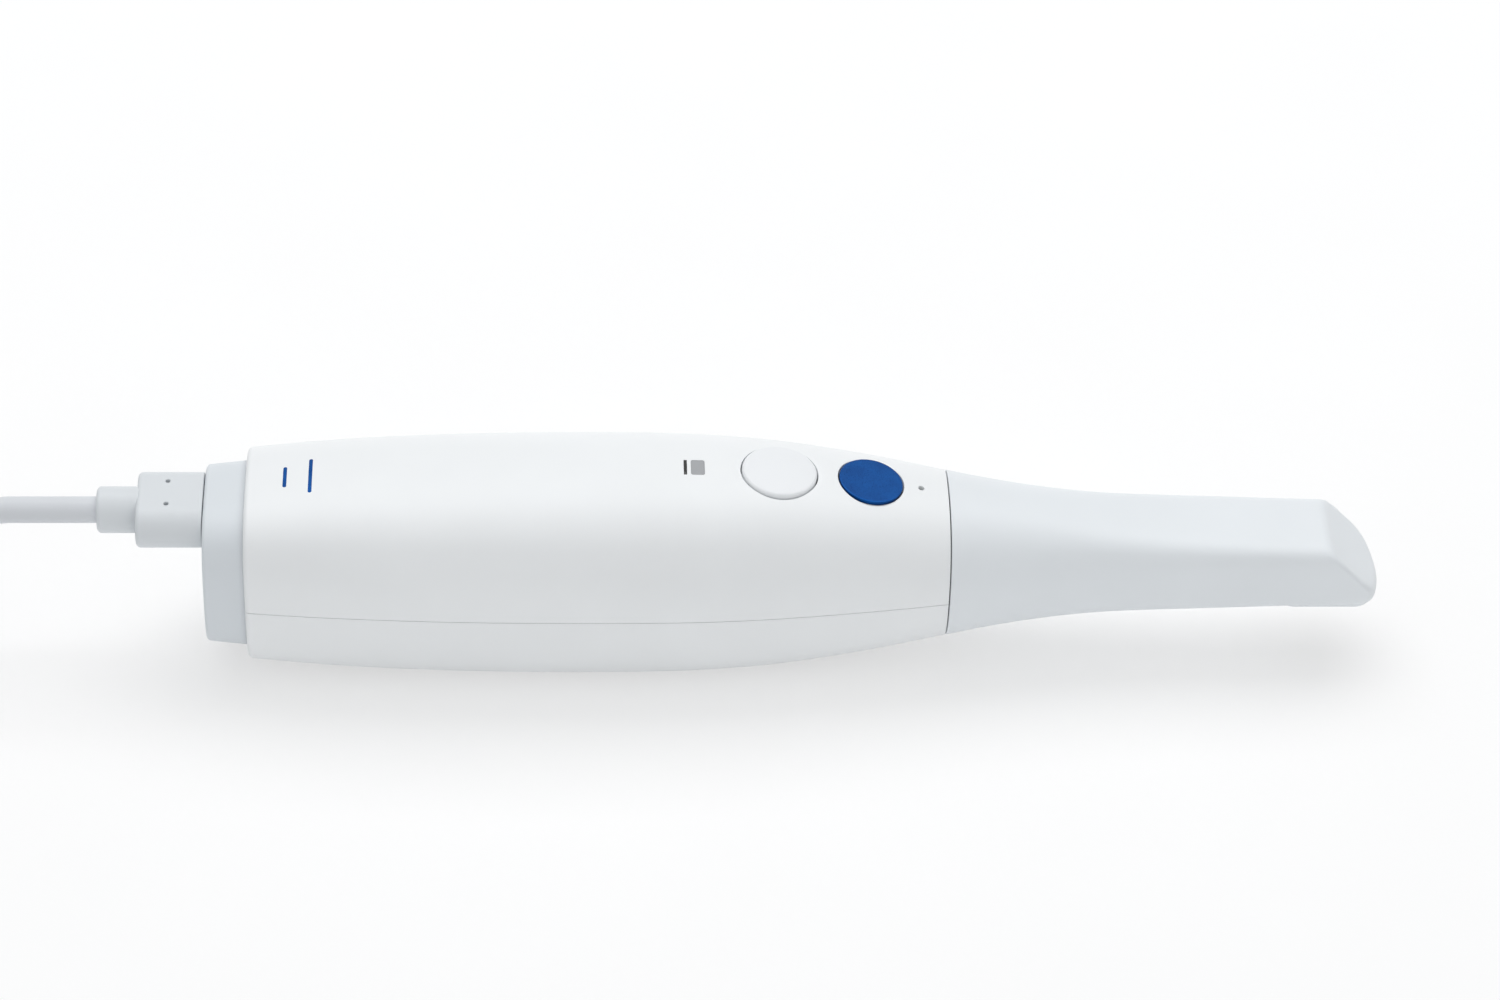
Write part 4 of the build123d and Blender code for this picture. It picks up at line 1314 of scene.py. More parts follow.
class WalledForm:
    """Walled form whose sections follow the Lame rule, made by a geometry tree."""

    names = tuple(row.name for row in fields(RailRow))
    inner_place = "inner_place"

    def __init__(self) -> None:
        bench = GeometryBench("walled_form")
        around = bench.size("Around", "NodeSocketInt")
        rings = bench.size("Rings", "NodeSocketInt")
        axis = bench.size("Axis Height")
        material = bench.size("Material", "NodeSocketMaterial")
        grid = bench.add(
            "GeometryNodeMeshGrid", {"Size X": 1.0, "Size Y": 1.0, "Vertices X": rings, "Vertices Y": around}
        )
        index = bench.add("GeometryNodeInputIndex").outputs[0]
        ring = bench.math("FLOOR", bench.math("DIVIDE", bench.math("ADD", index, 0.5), around))
        step = bench.math("SUBTRACT", index, bench.math("MULTIPLY", ring, around))
        share = bench.math("DIVIDE", step, bench.math("SUBTRACT", around, 1.0))
        found = {name: self.sampled(bench, name, ring) for name in self.names}
        outer = self.place(bench, found, "outer", share, axis)
        inner = self.place(bench, found, "inner", share, axis)
        skin = bench.add("GeometryNodeSetPosition", {"Geometry": grid.outputs["Mesh"], "Position": outer})
        stored = bench.add(
            "GeometryNodeStoreNamedAttribute",
            {"Geometry": skin.outputs[0], "Name": self.inner_place, "Value": inner},
            data_type="FLOAT_VECTOR",
            domain="POINT",
        )
        turned_over = bench.add("GeometryNodeFlipFaces", {"Mesh": stored.outputs[0]})
        wall = bench.add(
            "GeometryNodeExtrudeMesh",
            {"Mesh": stored.outputs[0], "Offset Scale": MM, "Individual": False},
            mode="FACES",
        )
        kept = {"Name": self.inner_place}
        kept = bench.add("GeometryNodeInputNamedAttribute", kept, data_type="FLOAT_VECTOR").outputs[0]
        top = {"Geometry": wall.outputs["Mesh"], "Selection": wall.outputs["Top"], "Position": kept}
        moved = bench.add("GeometryNodeSetPosition", top)
        joined = bench.add("GeometryNodeJoinGeometry")
        bench.tree.links.new(turned_over.outputs[0], joined.inputs[0])
        bench.tree.links.new(moved.outputs[0], joined.inputs[0])
        weld = {"Geometry": joined.outputs[0], "Distance": SKIN_WELD * MM}
        bench.finish(bench.add("GeometryNodeMergeByDistance", weld).outputs[0], material)
        self.bench = bench

    @staticmethod
    def sampled(bench: GeometryBench, name: str, ring: bpy.types.NodeSocket) -> bpy.types.NodeSocket:
        """Value of one rail attribute at a ring."""
        value = bench.add("GeometryNodeInputNamedAttribute", {"Name": name}, data_type="FLOAT").outputs[0]
        rail = {"Geometry": bench.entry.outputs["Geometry"], "Value": value, "Index": ring}
        return bench.add("GeometryNodeSampleIndex", rail, data_type="FLOAT", domain="POINT").outputs[0]

    @staticmethod
    def place(
        bench: GeometryBench,
        found: dict[str, bpy.types.NodeSocket],
        side: str,
        share: bpy.types.NodeSocket,
        axis: bpy.types.NodeSocket,
    ) -> bpy.types.NodeSocket:
        """Position on the outer or inner side by the Lame rule in polar form."""
        first, last = found[side + "_first"], found[side + "_last"]
        turn = bench.math("ADD", first, bench.math("MULTIPLY", share, bench.math("SUBTRACT", last, first)))
        across, up = bench.math("COSINE", turn), bench.math("SINE", turn)
        terms = []
        for part, size in ((across, "_width"), (up, "_height")):
            half = bench.math("MULTIPLY", found[side + size], 0.5)
            ratio = bench.math("ABSOLUTE", bench.math("DIVIDE", part, half))
            terms.append(bench.math("POWER", ratio, found["power"]))
        power = bench.math("DIVIDE", -1.0, found["power"])
        reach = bench.math("POWER", bench.math("ADD", *terms), power)
        rise = bench.math("ADD", bench.math("MULTIPLY", reach, up), axis)
        vector = {"X": found[side + "_x"], "Y": bench.math("MULTIPLY", reach, across), "Z": rise}
        return bench.add("ShaderNodeCombineXYZ", vector).outputs[0]

    def build(
        self, name: str, rows: Sequence[RailRow], around: int, material: bpy.types.Material
    ) -> bpy.types.Mesh:
        """Makes a closed walled form.

        Args:
            name: name of the mesh.
            rows: the rings, with stations and sizes in millimetres and turns in radians.
            around: points across each ring.
            material: its finish.

        Returns:
            The mesh, facing outwards.
        """
        rail = bpy.data.meshes.new(name + "_rail")
        rail.from_pydata([(float(number), 0.0, 0.0) for number in range(len(rows))], [], [])
        for attribute in self.names:
            values = np.array([getattr(row, attribute) for row in rows])
            if attribute.endswith("_x"):
                values = (values - PLACES.overall / 2) * MM
            elif attribute.endswith(("_width", "_height")):
                values = values * MM
            column = rail.attributes.new(attribute, "FLOAT", "POINT")
            column.data.foreach_set("value", values.astype(np.float32))
        sizes = {"Around": around, "Rings": len(rows), "Axis Height": PLACES.axis * MM, "Material": material}
        mesh = self.bench.run(rail, name, sizes)
        if self.inner_place in mesh.attributes:
            mesh.attributes.remove(mesh.attributes[self.inner_place])
        bm = bmesh.new()
        bm.from_mesh(mesh)
        bmesh.ops.remove_doubles(bm, verts=bm.verts, dist=SKIN_WELD * MM)
        bmesh.ops.dissolve_degenerate(bm, edges=bm.edges, dist=WELD / 2 * MM)
        bmesh.ops.recalc_face_normals(bm, faces=bm.faces)
        bm.to_mesh(mesh)
        bm.free()
        return mesh


@dataclass
class LowerShell:
    """Lower half of the handle, a plain walled form from the parting line down."""

    wall: float = PLACES.wall
    rim: float = PLACES.rim
    parting: float = PLACES.parting - PLACES.parting_gap / 2
    around: int = 113
    lip: float = 0.3
    pitch: float = 1.1

    def row(self, station: float, inset: float) -> RailRow:
        """One ring of the shell."""
        here = np.array([station])
        width, height, power = (float(t(here)[0]) for t in (HANDLE.width, HANDLE.height, HANDLE.power))
        outer_turn = math.atan2(self.parting, width / 2 - inset)
        inner_turn = math.atan2(self.parting, width / 2 - self.wall)
        return RailRow(
            outer_x=station,
            outer_width=width - 2 * inset,
            outer_height=height - 2 * inset,
            inner_x=station,
            inner_width=width - 2 * self.wall,
            inner_height=height - 2 * self.wall,
            power=power,
            outer_first=outer_turn,
            outer_last=-math.pi - outer_turn,
            inner_first=inner_turn,
            inner_last=-math.pi - inner_turn,
        )

    def build(self, palette: Palette, forms: WalledForm) -> bpy.types.Object:
        """Makes the shell.

        Args:
            palette: the finishes.
            forms: the tree of walled forms.

        Returns:
            The piece.
        """
        start = PLACES.cap + self.rim
        angles = np.radians(np.linspace(0, 90, 8))[:-1]
        rows = [self.row(start - self.rim * math.cos(a), self.rim * (1 - math.sin(a))) for a in angles]
        count = round((PLACES.seam - start) / self.pitch)
        rows += [self.row(station, 0.0) for station in np.linspace(start, PLACES.seam, count + 1)]
        mesh = forms.build("lower_cover", rows, self.around, palette[Slot.BODY_WHITE])
        bm = bmesh.new()
        bm.from_mesh(mesh)
        round_edges(bm, near_skin, self.lip)
        bm.to_mesh(mesh)
        bm.free()
        return place_piece(mesh, Body.HANDLE, Slot.BODY_WHITE, palette, ["lower_shell"])


@dataclass
class RearCap:
    """Tapered rear cap with its neck inside the shells and the socket's hole."""

    rear: tuple[float, float] = (31.4, 33.8)
    front: tuple[float, float] = (32.8, 35.2)
    power: float = 3.2
    edge: float = 0.9
    side_start: float = 1.6
    wall: float = PLACES.wall
    neck: float = 5.0
    rise: float = PLACES.plug_rise
    hole: tuple[float, float] = (9.3, 3.4)
    around: int = 144

    def ring(self, station: float, inset: float) -> np.ndarray:
        """Ring of points of the tapered side at a station, drawn in by an inset."""
        share = min(max((station - self.edge) / (PLACES.cap - self.edge), 0.0), 1.0)
        sizes = ((rear + (front - rear) * share) / 2 - inset for rear, front in zip(self.rear, self.front))
        half_width, half_height = sizes
        turns = 2 * math.pi * np.arange(self.around) / self.around
        across = np.abs(np.cos(turns) / half_width) ** self.power
        reach = (across + np.abs(np.sin(turns) / half_height) ** self.power) ** (-1 / self.power)
        return np.column_stack([np.full(self.around, station), reach * np.cos(turns), reach * np.sin(turns)])

    def build(self, palette: Palette) -> bpy.types.Object:
        """Makes the cap.

        Args:
            palette: the finishes.

        Returns:
            The piece.
        """
        end = PLACES.cap + self.neck
        profile = []
        for angle in np.radians(np.linspace(0, 90, 7)):
            profile.append((self.edge * (1 - math.cos(angle)), self.edge * (1 - math.sin(angle))))
        profile += [(station, 0.0) for station in np.linspace(self.side_start, end, 13)]
        profile += [(station, self.wall) for station in np.linspace(end, self.wall, 7)]
        draft = Draft()
        rings = [draft.add(self.ring(station, inset)) for station, inset in profile]
        draft.loft(rings)
        draft.cover(rings[0], (0.0, 0.0, 0.0))
        draft.cover(rings[-1], (self.wall, 0.0, 0.0))
        outline = rounded_outline(*self.hole, self.hole[1] / 2 - 0.01)
        cutter = prism("cut", outline, self.upright, -1.0, self.wall + 2.0)
        mesh = combined(draft.mesh("rear_cover"), [(cutter, "DIFFERENCE")])
        return place_piece(mesh, Body.HANDLE, Slot.CAP_GREY, palette, ["rear_cap"])

    def upright(self, rows: np.ndarray) -> np.ndarray:
        """Turns outline rows across and up, with a station as height, into station, across and up."""
        return np.column_stack([rows[:, 2], rows[:, 0], rows[:, 1] + self.rise])


@dataclass
class TipSleeve:
    """Slip-on sleeve with the slanted, rounded end and the window in its underside."""

    wall: float = 1.4
    slope: float = 47.0
    lip_height: float = 2.8
    plan_radius: float = 21.0
    corner: float = 2.4
    head_height: float = PLACES.head_height
    edge: float = 1.0
    end: float = 248.06
    around: int = 176
    fan_start: float = 226.0
    seam_lip: float = 0.3
    window: tuple[float, float] = (17.5, 14.0)
    window_corner: float = 2.5
    window_margin: float = 3.0
    rim_width: float = 1.5
    rim_stand: float = 0.35
    rim_edge: float = 0.15
    rim_soft: float = 0.04
    rim_root: float = 0.8
    overrun: float = 1.0

    def level(self, points: np.ndarray, inset: float = 0.0) -> np.ndarray:
        """How far points stand out of the sleeve's form, drawn in by an inset."""
        slope = math.radians(self.slope)
        knee = self.lip_height - self.head_height / 2
        plane = self.end - (points[:, 2] - knee) / math.tan(slope)
        slant = (points[:, 0] - plane) * math.sin(slope) + inset
        ahead = points[:, 0] - (self.end - self.plan_radius)
        rounded = np.hypot(ahead, points[:, 1])
        wall = np.where(ahead > 0, rounded, np.abs(points[:, 1]) + 0.3 * ahead) - self.plan_radius + inset
        body = soft_max(SLEEVE.level(points, inset), wall, max(self.corner - inset, 0.3))
        return soft_max(body, slant, max(self.edge - inset, 0.3))

    def cast(self, centre: np.ndarray, rays: np.ndarray, inset: float) -> np.ndarray:
        """Points where rays from a centre leave the form."""
        low = np.full(len(rays), CAST_RANGE[0])
        high = np.full(len(rays), CAST_RANGE[1])
        for _ in range(HALVINGS):
            middle = (low + high) / 2
            outside = self.level(centre + rays * middle[:, None], inset) > 0
            high = np.where(outside, middle, high)
            low = np.where(outside, low, middle)
        return centre + rays * low[:, None]

    def rings(self, start: float, pitch: float, inset: float) -> list[np.ndarray]:
        """Rings of points from the seam end to the slanted face.

        Args:
            start: station of the first ring.
            pitch: distance between the rings of the straight stretch.
            inset: how far the form is drawn in.

        Returns:
            The rings, each a row of points.
        """
        turns = 2 * math.pi * np.arange(self.around) / self.around
        lean = math.radians(90 - self.slope)
        face_middle = np.array([self.end - 4.9, 0.0, 1.2])
        last = face_middle - (3.0 + inset) * np.array([math.cos(lean), 0.0, math.sin(lean)])
        count = round((self.fan_start - start) / pitch)
        planes = [(np.array([s, 0.0, 0.0]), 0.0) for s in np.linspace(start, self.fan_start, count + 1)]
        fan = 26
        for step in range(1, fan + 1):
            share = step / fan
            eased = share * share * (3 - 2 * share) * 0.5 + share * 0.5
            planes.append((planes[count][0] * (1 - eased) + last * eased, lean * eased))
        rings = []
        for centre, tilt in planes:
            rings.append(self.cast(centre, self.rays(turns, tilt, 0.0), inset))
        for bend in (*range(2, 30, 2), 31, 35, 40, 47, 55, 64, 74, 83):
            rings.append(self.cast(last, self.rays(turns, lean, math.radians(bend)), inset))
        return rings

    @staticmethod
    def rays(turns: np.ndarray, tilt: float, bend: float) -> np.ndarray:
        """Directions round a tilted plane, bent forward out of it."""
        across = np.cos(turns) * math.cos(bend)
        up = np.sin(turns) * math.cos(bend)
        ahead = np.full(len(turns), math.sin(bend))
        station = ahead * math.cos(tilt) - up * math.sin(tilt)
        rise = ahead * math.sin(tilt) + up * math.cos(tilt)
        return np.column_stack([station, across, rise])

    def solid(self, name: str, start: float, pitch: float, inset: float, lip: float) -> bpy.types.Mesh:
        """Closed solid of the form, drawn in by an inset, with a rounded rear edge."""
        draft = Draft()
        rings = self.rings(start + lip, pitch, inset)
        turns = 2 * math.pi * np.arange(self.around) / self.around
        rear = []
        for angle in np.radians(np.linspace(0, 72, 5)) if lip else []:
            stations = np.full(self.around, start + lip * (1 - math.cos(angle)))
            reach = SLEEVE.reach(stations, turns, inset + lip * (1 - math.sin(angle)))
            rear.append(np.column_stack([stations, reach * np.cos(turns), reach * np.sin(turns)]))
        indices = [draft.add(ring) for ring in rear + rings]
        draft.loft(indices)
        draft.cover(indices[0])
        draft.cover(indices[-1], rings[-1].mean(axis=0))
        return draft.mesh(name)

    def under(self, rows: np.ndarray) -> np.ndarray:
        """Turns outline rows along and across, with a height, into station, across and up."""
        middle = PLACES.overall - self.window_margin - self.window[0] / 2
        return np.column_stack([middle + rows[:, 0], rows[:, 1], rows[:, 2]])

    def build(self, palette: Palette) -> bpy.types.Object:
        """Makes the sleeve.

        Args:
            palette: the finishes.

        Returns:
            The piece.
        """
        outer = self.solid("tip_cover", PLACES.sleeve, 1.0, 0.0, self.seam_lip)
        hollow = self.solid("hollow", PLACES.sleeve - 1.0, 2.0, self.wall, 0.0)
        low = -self.head_height / 2
        foot = low - self.rim_stand
        sizes = [size + 2 * self.rim_width for size in self.window]
        corner = self.window_corner + self.rim_width
        rings = []
        draft = Draft()
        stand, edge = self.rim_stand, self.rim_edge
        softened = (-stand + self.rim_soft, self.rim_soft)
        for rise, inset in ((self.rim_root, 0.0), (-stand + edge, 0.0), softened, (-stand, edge)):
            outline = rounded_outline(sizes[0] - 2 * inset, sizes[1] - 2 * inset, corner - inset)
            rows = np.column_stack([outline, np.full(len(outline), low + rise)])
            rings.append(draft.add(self.under(rows)))
        draft.loft(rings)
        draft.cover(rings[0])
        draft.cover(rings[-1])
        rim = draft.mesh("rim")
        outline = rounded_outline(*self.window, self.window_corner)
        opening = prism("cut", outline, self.under, foot - self.overrun, low + 2 * self.wall)
        steps = [(rim, "UNION"), (hollow, "DIFFERENCE"), (opening, "DIFFERENCE")]
        mesh = combined(outer, steps)
        polish(mesh, self.level)
        return place_piece(mesh, Body.TIP, Slot.SLEEVE_GREY, palette, ["tip_sleeve"])


def soft_max(first: np.ndarray, second: np.ndarray, blend: float) -> np.ndarray:
    """The larger of two fields, with a rounded change between them."""
    near = np.clip(blend - np.abs(first - second), 0, None) / blend
    return np.maximum(first, second) + near * near * blend / 4


@dataclass
class Keys:
    """Raised scan key, flush confirm disc, status bar and badge."""

    gap: float = 0.3
    scan_radius: float = PLACES.scan_hole
    scan_stand: float = 0.9
    scan_crown: float = 0.7
    scan_edge: float = 0.7
    skirt: float = 4.0
    roof: float = 1.4
    disc_radius: float = PLACES.confirm_hole
    disc_thickness: float = 0.8
    disc_edge: float = 0.15
    stem: float = 1.6
    stem_depth: float = 5.7
    bar_corner: float = 0.1
    bar_depth: float = 2.6

    def scan_profile(self) -> list[tuple[float, float]]:
        """Profile of the scan key from the middle of its top to the end of its stem."""
        outside = self.scan_radius - self.gap
        dome = (outside**2 + self.scan_crown**2) / (2 * self.scan_crown)
        top = self.scan_stand
        reach = outside - self.scan_edge
        centre = (reach, top - dome + math.sqrt((dome - self.scan_edge) ** 2 - reach**2))
        lean = math.degrees(math.atan2(centre[1] - (top - dome), reach))
        points = [(0.0, top)]
        for share in (0.12, 0.3, 0.5, 0.7, 0.85, 0.95, 1.0):
            far = (dome * math.cos(math.radians(lean))) * share
            points.append((far, top - dome + math.sqrt(dome**2 - far**2)))
        points += arc(centre, self.scan_edge, lean, 0.0, 8)[1:]
        under = top - self.scan_crown - self.roof
        inside = outside - self.roof
        points += [(outside, -self.skirt), (inside, -self.skirt), (inside, under), (self.stem, under)]
        points += [(self.stem, -self.stem_depth), (0.0, -self.stem_depth)]
        return points

    def disc_profile(self) -> list[tuple[float, float]]:
        """Profile of the confirm disc."""
        outside = self.disc_radius - self.gap
        points = [(0.0, 0.0), (outside * 0.5, 0.0), (outside - 0.6, 0.0)]
        points += arc((outside - self.disc_edge, -self.disc_edge), self.disc_edge, 90.0, 0.0, 4)
        points += [(outside, -self.disc_thickness), (0.0, -self.disc_thickness)]
        return points

    def build(self, palette: Palette, shell: UpperShell) -> None:
        """Makes the keys, the status bar and the badge.

        Args:
            palette: the finishes.
            shell: the upper shell, which has the seats.
        """
        scan = turned("scan_cap", self.scan_profile(), SCAN_PLANE.place, 128)
        place_piece(scan, Body.SCAN_KEY, Slot.KEY_WHITE, palette, ["scan_button"], 30.0)
        disc = turned("confirm_face", self.disc_profile(), CONFIRM_PLANE.place, 128)
        place_piece(disc, Body.CONFIRM_KEY, Slot.KEY_BLUE, palette, ["confirm_disc"], 50.0)
        plane = crown_plane(shell.slot_station)
        mesh = self.inlay("status_bar", plane, shell.slot_size, self.bar_corner, -self.bar_depth)
        place_piece(mesh, Body.HANDLE, Slot.STATUS_DARK, palette, ["status_guide"])
        plane = crown_plane(shell.badge_station)
        mesh = self.inlay("badge_face", plane, shell.badge_size, shell.badge_corner, -shell.badge_depth)
        place_piece(mesh, Body.HANDLE, Slot.BADGE_GREY, palette, ["badge_plate"])

    @staticmethod
    def inlay(
        name: str, plane: CrownPlane, size: tuple[float, float], corner: float, low: float
    ) -> bpy.types.Mesh:
        """Makes an inlay whose upper face follows the crown just under its surface.

        Args:
            name: name of the piece.
            plane: plane that touches the crown there.
            size: length and width of its seat.
            corner: corner radius of its seat.
            low: height of its lower face in the plane.

        Returns:
            The mesh.
        """
        gap, sink, edge = 0.03, 0.03, 0.05
        draft = Draft()
        rings = []
        soft = (gap + 0.3 * edge, sink + 0.3 * edge)
        for inset, drop in ((gap, None), (gap, sink + edge), soft, (gap + edge, sink)):
            outline = rounded_outline(size[0] - 2 * inset, size[1] - 2 * inset, corner - inset, 6)
            heights = np.full(len(outline), low) if drop is None else plane.drop(outline) - drop
            rings.append(draft.add(plane.place(np.column_stack([outline, heights]))))
        draft.loft(rings)
        draft.cover(rings[0])
        middle = plane.drop(np.zeros((1, 2)))[0] - sink
        shrunk = rounded_outline(size[0] * 0.4, size[1] * 0.6, corner * 0.5, 6)
        inner = draft.add(plane.place(np.column_stack([shrunk, plane.drop(shrunk) - sink])))
        draft.strip(rings[-1], inner)
        draft.cover(inner, plane.place(np.array([[0.0, 0.0, middle]]))[0])
        return draft.mesh(name)


@dataclass
class RearMarks:
    """Two plain printed bars across the handle's rear crown."""

    stations: tuple[float, float] = (17.0, 22.3)
    lengths: tuple[float, float] = (6.4, 10.6)
    width: float = 0.8
    proud: float = 0.015
    depth: float = 0.1
    steps: int = 40

    def build(self, palette: Palette) -> bpy.types.Object:
        """Makes the bars as one piece.

        Args:
            palette: the finishes.

        Returns:
            The piece.
        """
        draft = Draft()
        radius = self.width / 2
        for station, length in zip(self.stations, self.lengths):
            plane = crown_plane(station)
            rings = []
            for turn in np.linspace(-math.pi / 2, math.pi / 2, self.steps + 1):
                across = length / 2 * math.sin(turn)
                beyond = max(abs(across) - (length / 2 - radius), 0.0)
                half = max(math.sqrt(max(radius**2 - beyond**2, 0.0)), 0.02)
                corners = np.array([(-half, across), (half, across)])
                top = plane.drop(corners)
                upper = np.column_stack([corners, top + self.proud])
                lower = np.column_stack([corners, top - self.depth])[::-1]
                rings.append(draft.add(plane.place(np.vstack([upper, lower]))))
            draft.loft(rings)
            draft.cover(rings[0])
            draft.cover(rings[-1])
        return place_piece(draft.mesh("rear_marks"), Body.HANDLE, Slot.KEY_BLUE, palette)


@dataclass
class RearPlug:
    """Plug block with two blind holes, and the round relief behind it."""

    rise: float = PLACES.plug_rise
    gap: float = 0.15
    length: float = 13.8
    width: float = 19.0
    height: float = 9.7
    edge: float = 1.0
    front_edge: float = 0.3
    hole_radius: float = 0.5
    hole_depth: float = 1.5
    hole_spacing: float = 7.2
    hole_setback: float = 7.6
    relief_radius: float = 4.9
    relief_length: float = 8.35
    relief_edge: float = 1.0
    relief_step: float = 0.12
    relief_chamfer: float = 0.35
    relief_root: float = 0.4
    sink_width: float = 0.16
    sink_depth: float = 0.12
    overrun: float = 1.0

    def section(self, station: float, inset: float, steps: int = 24) -> np.ndarray:
        """Ring of points of the stadium section, drawn in by an inset."""
        radius = self.height / 2 - inset
        outline = rounded_outline(self.width - 2 * inset, self.height - 2 * inset, radius - 0.002, steps)
        return np.column_stack([np.full(len(outline), station), outline[:, 0], outline[:, 1] + self.rise])

    def build(self, palette: Palette) -> None:
        """Makes the plug block and the relief."""
        front = -self.gap
        rear = front - self.length
        draft = Draft()
        rings = []
        for angle in np.radians(np.linspace(0, 90, 7)):
            inset = self.edge * (1 - math.sin(angle))
            rings.append(draft.add(self.section(rear + self.edge * (1 - math.cos(angle)), inset)))
        for angle in np.radians(np.linspace(90, 0, 5)):
            inset = self.front_edge * (1 - math.sin(angle))
            rings.append(draft.add(self.section(front - self.front_edge * (1 - math.cos(angle)), inset)))
        draft.loft(rings)
        draft.cover(rings[0])
        draft.cover(rings[-1])
        mesh = draft.mesh("plug_block")
        cutters = [self.hole(side * self.hole_spacing / 2) for side in (-1, 1)]
        mesh = combined(mesh, [(cutter, "DIFFERENCE") for cutter in cutters])
        place_piece(mesh, Body.CABLE, Slot.PLUG_GREY, palette, ["rear_plug"])
        start = rear - self.relief_length
        radius, edge = self.relief_radius, self.relief_edge
        neck, root = radius - self.relief_step, rear + self.relief_root
        profile = [(0.0, start), *arc((radius - edge, start + edge), edge, 270.0, 360.0, 6)]
        profile += [(radius, rear - self.relief_chamfer), (neck, rear - self.relief_step)]
        profile += [(neck, root), (0.0, root)]
        relief = turned("cord_relief", profile, self.lying, 72)
        place_piece(relief, Body.CABLE, Slot.PLUG_GREY, palette, ["strain_relief"])

    def lying(self, rows: np.ndarray) -> np.ndarray:
        """Turns plane rows with a station as height into station, across and up."""
        return np.column_stack([rows[:, 2], rows[:, 0], rows[:, 1] + self.rise])

    def hole(self, across: float) -> bpy.types.Mesh:
        """Cutter of one blind hole, with a small countersink."""
        top = self.rise + self.height / 2
        radius = self.hole_radius
        profile = [
            (0.0, top - self.hole_depth),
            (radius, top - self.hole_depth),
            (radius, top - self.sink_depth),
            (radius + self.sink_width, top + self.sink_width - self.sink_depth),
            (radius + self.sink_width, top + self.overrun),
            (0.0, top + self.overrun),
        ]

        def place(rows: np.ndarray) -> np.ndarray:
            """Moves the hole to its place in the plug."""
            return np.column_stack([rows[:, 0] - self.hole_setback, rows[:, 1] + across, rows[:, 2]])

        return turned("cut", profile, place, 40)


@dataclass
class Cable:
    """Free cord from the plug's relief through its tied hank to the far plug."""

    diameter: float = 5.6
    pitch: float = 5.8
    layer: float = 5.7
    fold_radius: float = 19.64
    run: float = 98.0
    centre_x: float = -255.0
    base: float = 0.85
    fold_steps: int = 8
    outer_bulge: float = 2.9
    inner_bulge: float = 1.6
    places: tuple[tuple[int, int], ...] = ((0, 2), (1, 2), (1, 1), (0, 1), (0, 0), (1, 0))
    route: tuple[tuple[float, float, float], ...] = (
        (-146.35, 0.0, 35.6),
        (-152.0, 0.0, 35.6),
        (-178.0, 0.0, 35.6),
        (-216.0, -16.8, 15.0),
        (-242.0, -16.8, 15.0),
    )
    tail: tuple[tuple[float, float, float], ...] = (
        (-290.0, -22.4, 3.7),
        (-315.0, -22.0, 3.9),
        (-329.0, -17.0, 3.9),
        (-342.0, -17.0, 3.9),
    )
    declared: float = 1.83

    def winding(self, turn: int, eased: float) -> tuple[float, float]:
        """Fold radius and height of a turn.

        Args:
            turn: number of full turns before it.
            eased: how far the change to the next turn has gone.

        Returns:
            The radius and the height in millimetres.
        """
        column, layer = self.places[turn]
        after, below = self.places[turn + 1] if eased else (column, layer)
        bulge = self.outer_bulge if column else -self.inner_bulge
        swell = bulge * math.sin(math.pi * eased) if column == after else 0.0
        radius = self.fold_radius + (column + (after - column) * eased - 0.5) * self.pitch + swell
        return radius, self.base + self.diameter / 2 + (layer + (below - layer) * eased) * self.layer

    def hank_points(self) -> list[tuple[float, float, float]]:
        """Control points of the hank's turns in millimetres, from the end of the first run."""
        half_step = math.pi / self.fold_steps / 2
        rear, front = self.centre_x - self.run / 2, self.centre_x + self.run / 2
        points = []
        for turn in range(len(self.places)):
            radius, height = self.winding(turn, 0.0)
            lead = radius * math.tan(half_step)
            if turn:
                points += [(front - lead, -radius, height), (self.centre_x, -radius, height)]
            if turn == len(self.places) - 1:
                break
            points.append((rear + lead, -radius, height))
            for step in range(self.fold_steps):
                angle = -math.pi / 2 - (2 * step + 1) * half_step
                reach = radius / math.cos(half_step)
                points.append((rear + reach * math.cos(angle), reach * math.sin(angle), height))
            points += [(place, radius, height) for place in (rear + lead, self.centre_x, front - lead)]
            for step in range(self.fold_steps):
                share = (2 * step + 1) / (2 * self.fold_steps)
                radius, height = self.winding(turn, share * share * (3 - 2 * share))
                angle = math.pi / 2 - (2 * step + 1) * half_step
                reach = radius / math.cos(half_step)
                points.append((front + reach * math.cos(angle), reach * math.sin(angle), height))
        return points

    def build(self, palette: Palette) -> bpy.types.Object:
        """Args:
            palette: the finishes.

        Returns:
            The cord.
        """
        points = [*self.route, *self.hank_points(), *self.tail]
        data = bpy.data.curves.new("cable_cord", "CURVE")
        data.dimensions = "3D"
        spline = data.splines.new("NURBS")
        spline.points.add(len(points) - 1)
        for place, point in zip(spline.points, points):
            place.co = (*(value * MM for value in point), 1.0)
        spline.order_u = 3
        spline.use_endpoint_u = True
        spline.resolution_u = 6
        data.bevel_depth = self.diameter / 2 * MM
        data.bevel_resolution = 6
        data.use_fill_caps = True
        piece = bpy.data.objects.new("cable_cord", data)
        bpy.context.scene.collection.objects.link(piece)
        palette.dress(piece, Slot.CABLE_GREY)
        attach(piece, Body.CABLE.value)
        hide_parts("cord", "cord_hank", "cord_tail")
        log.info("cable_cord: %d control points", len(points))
        return piece


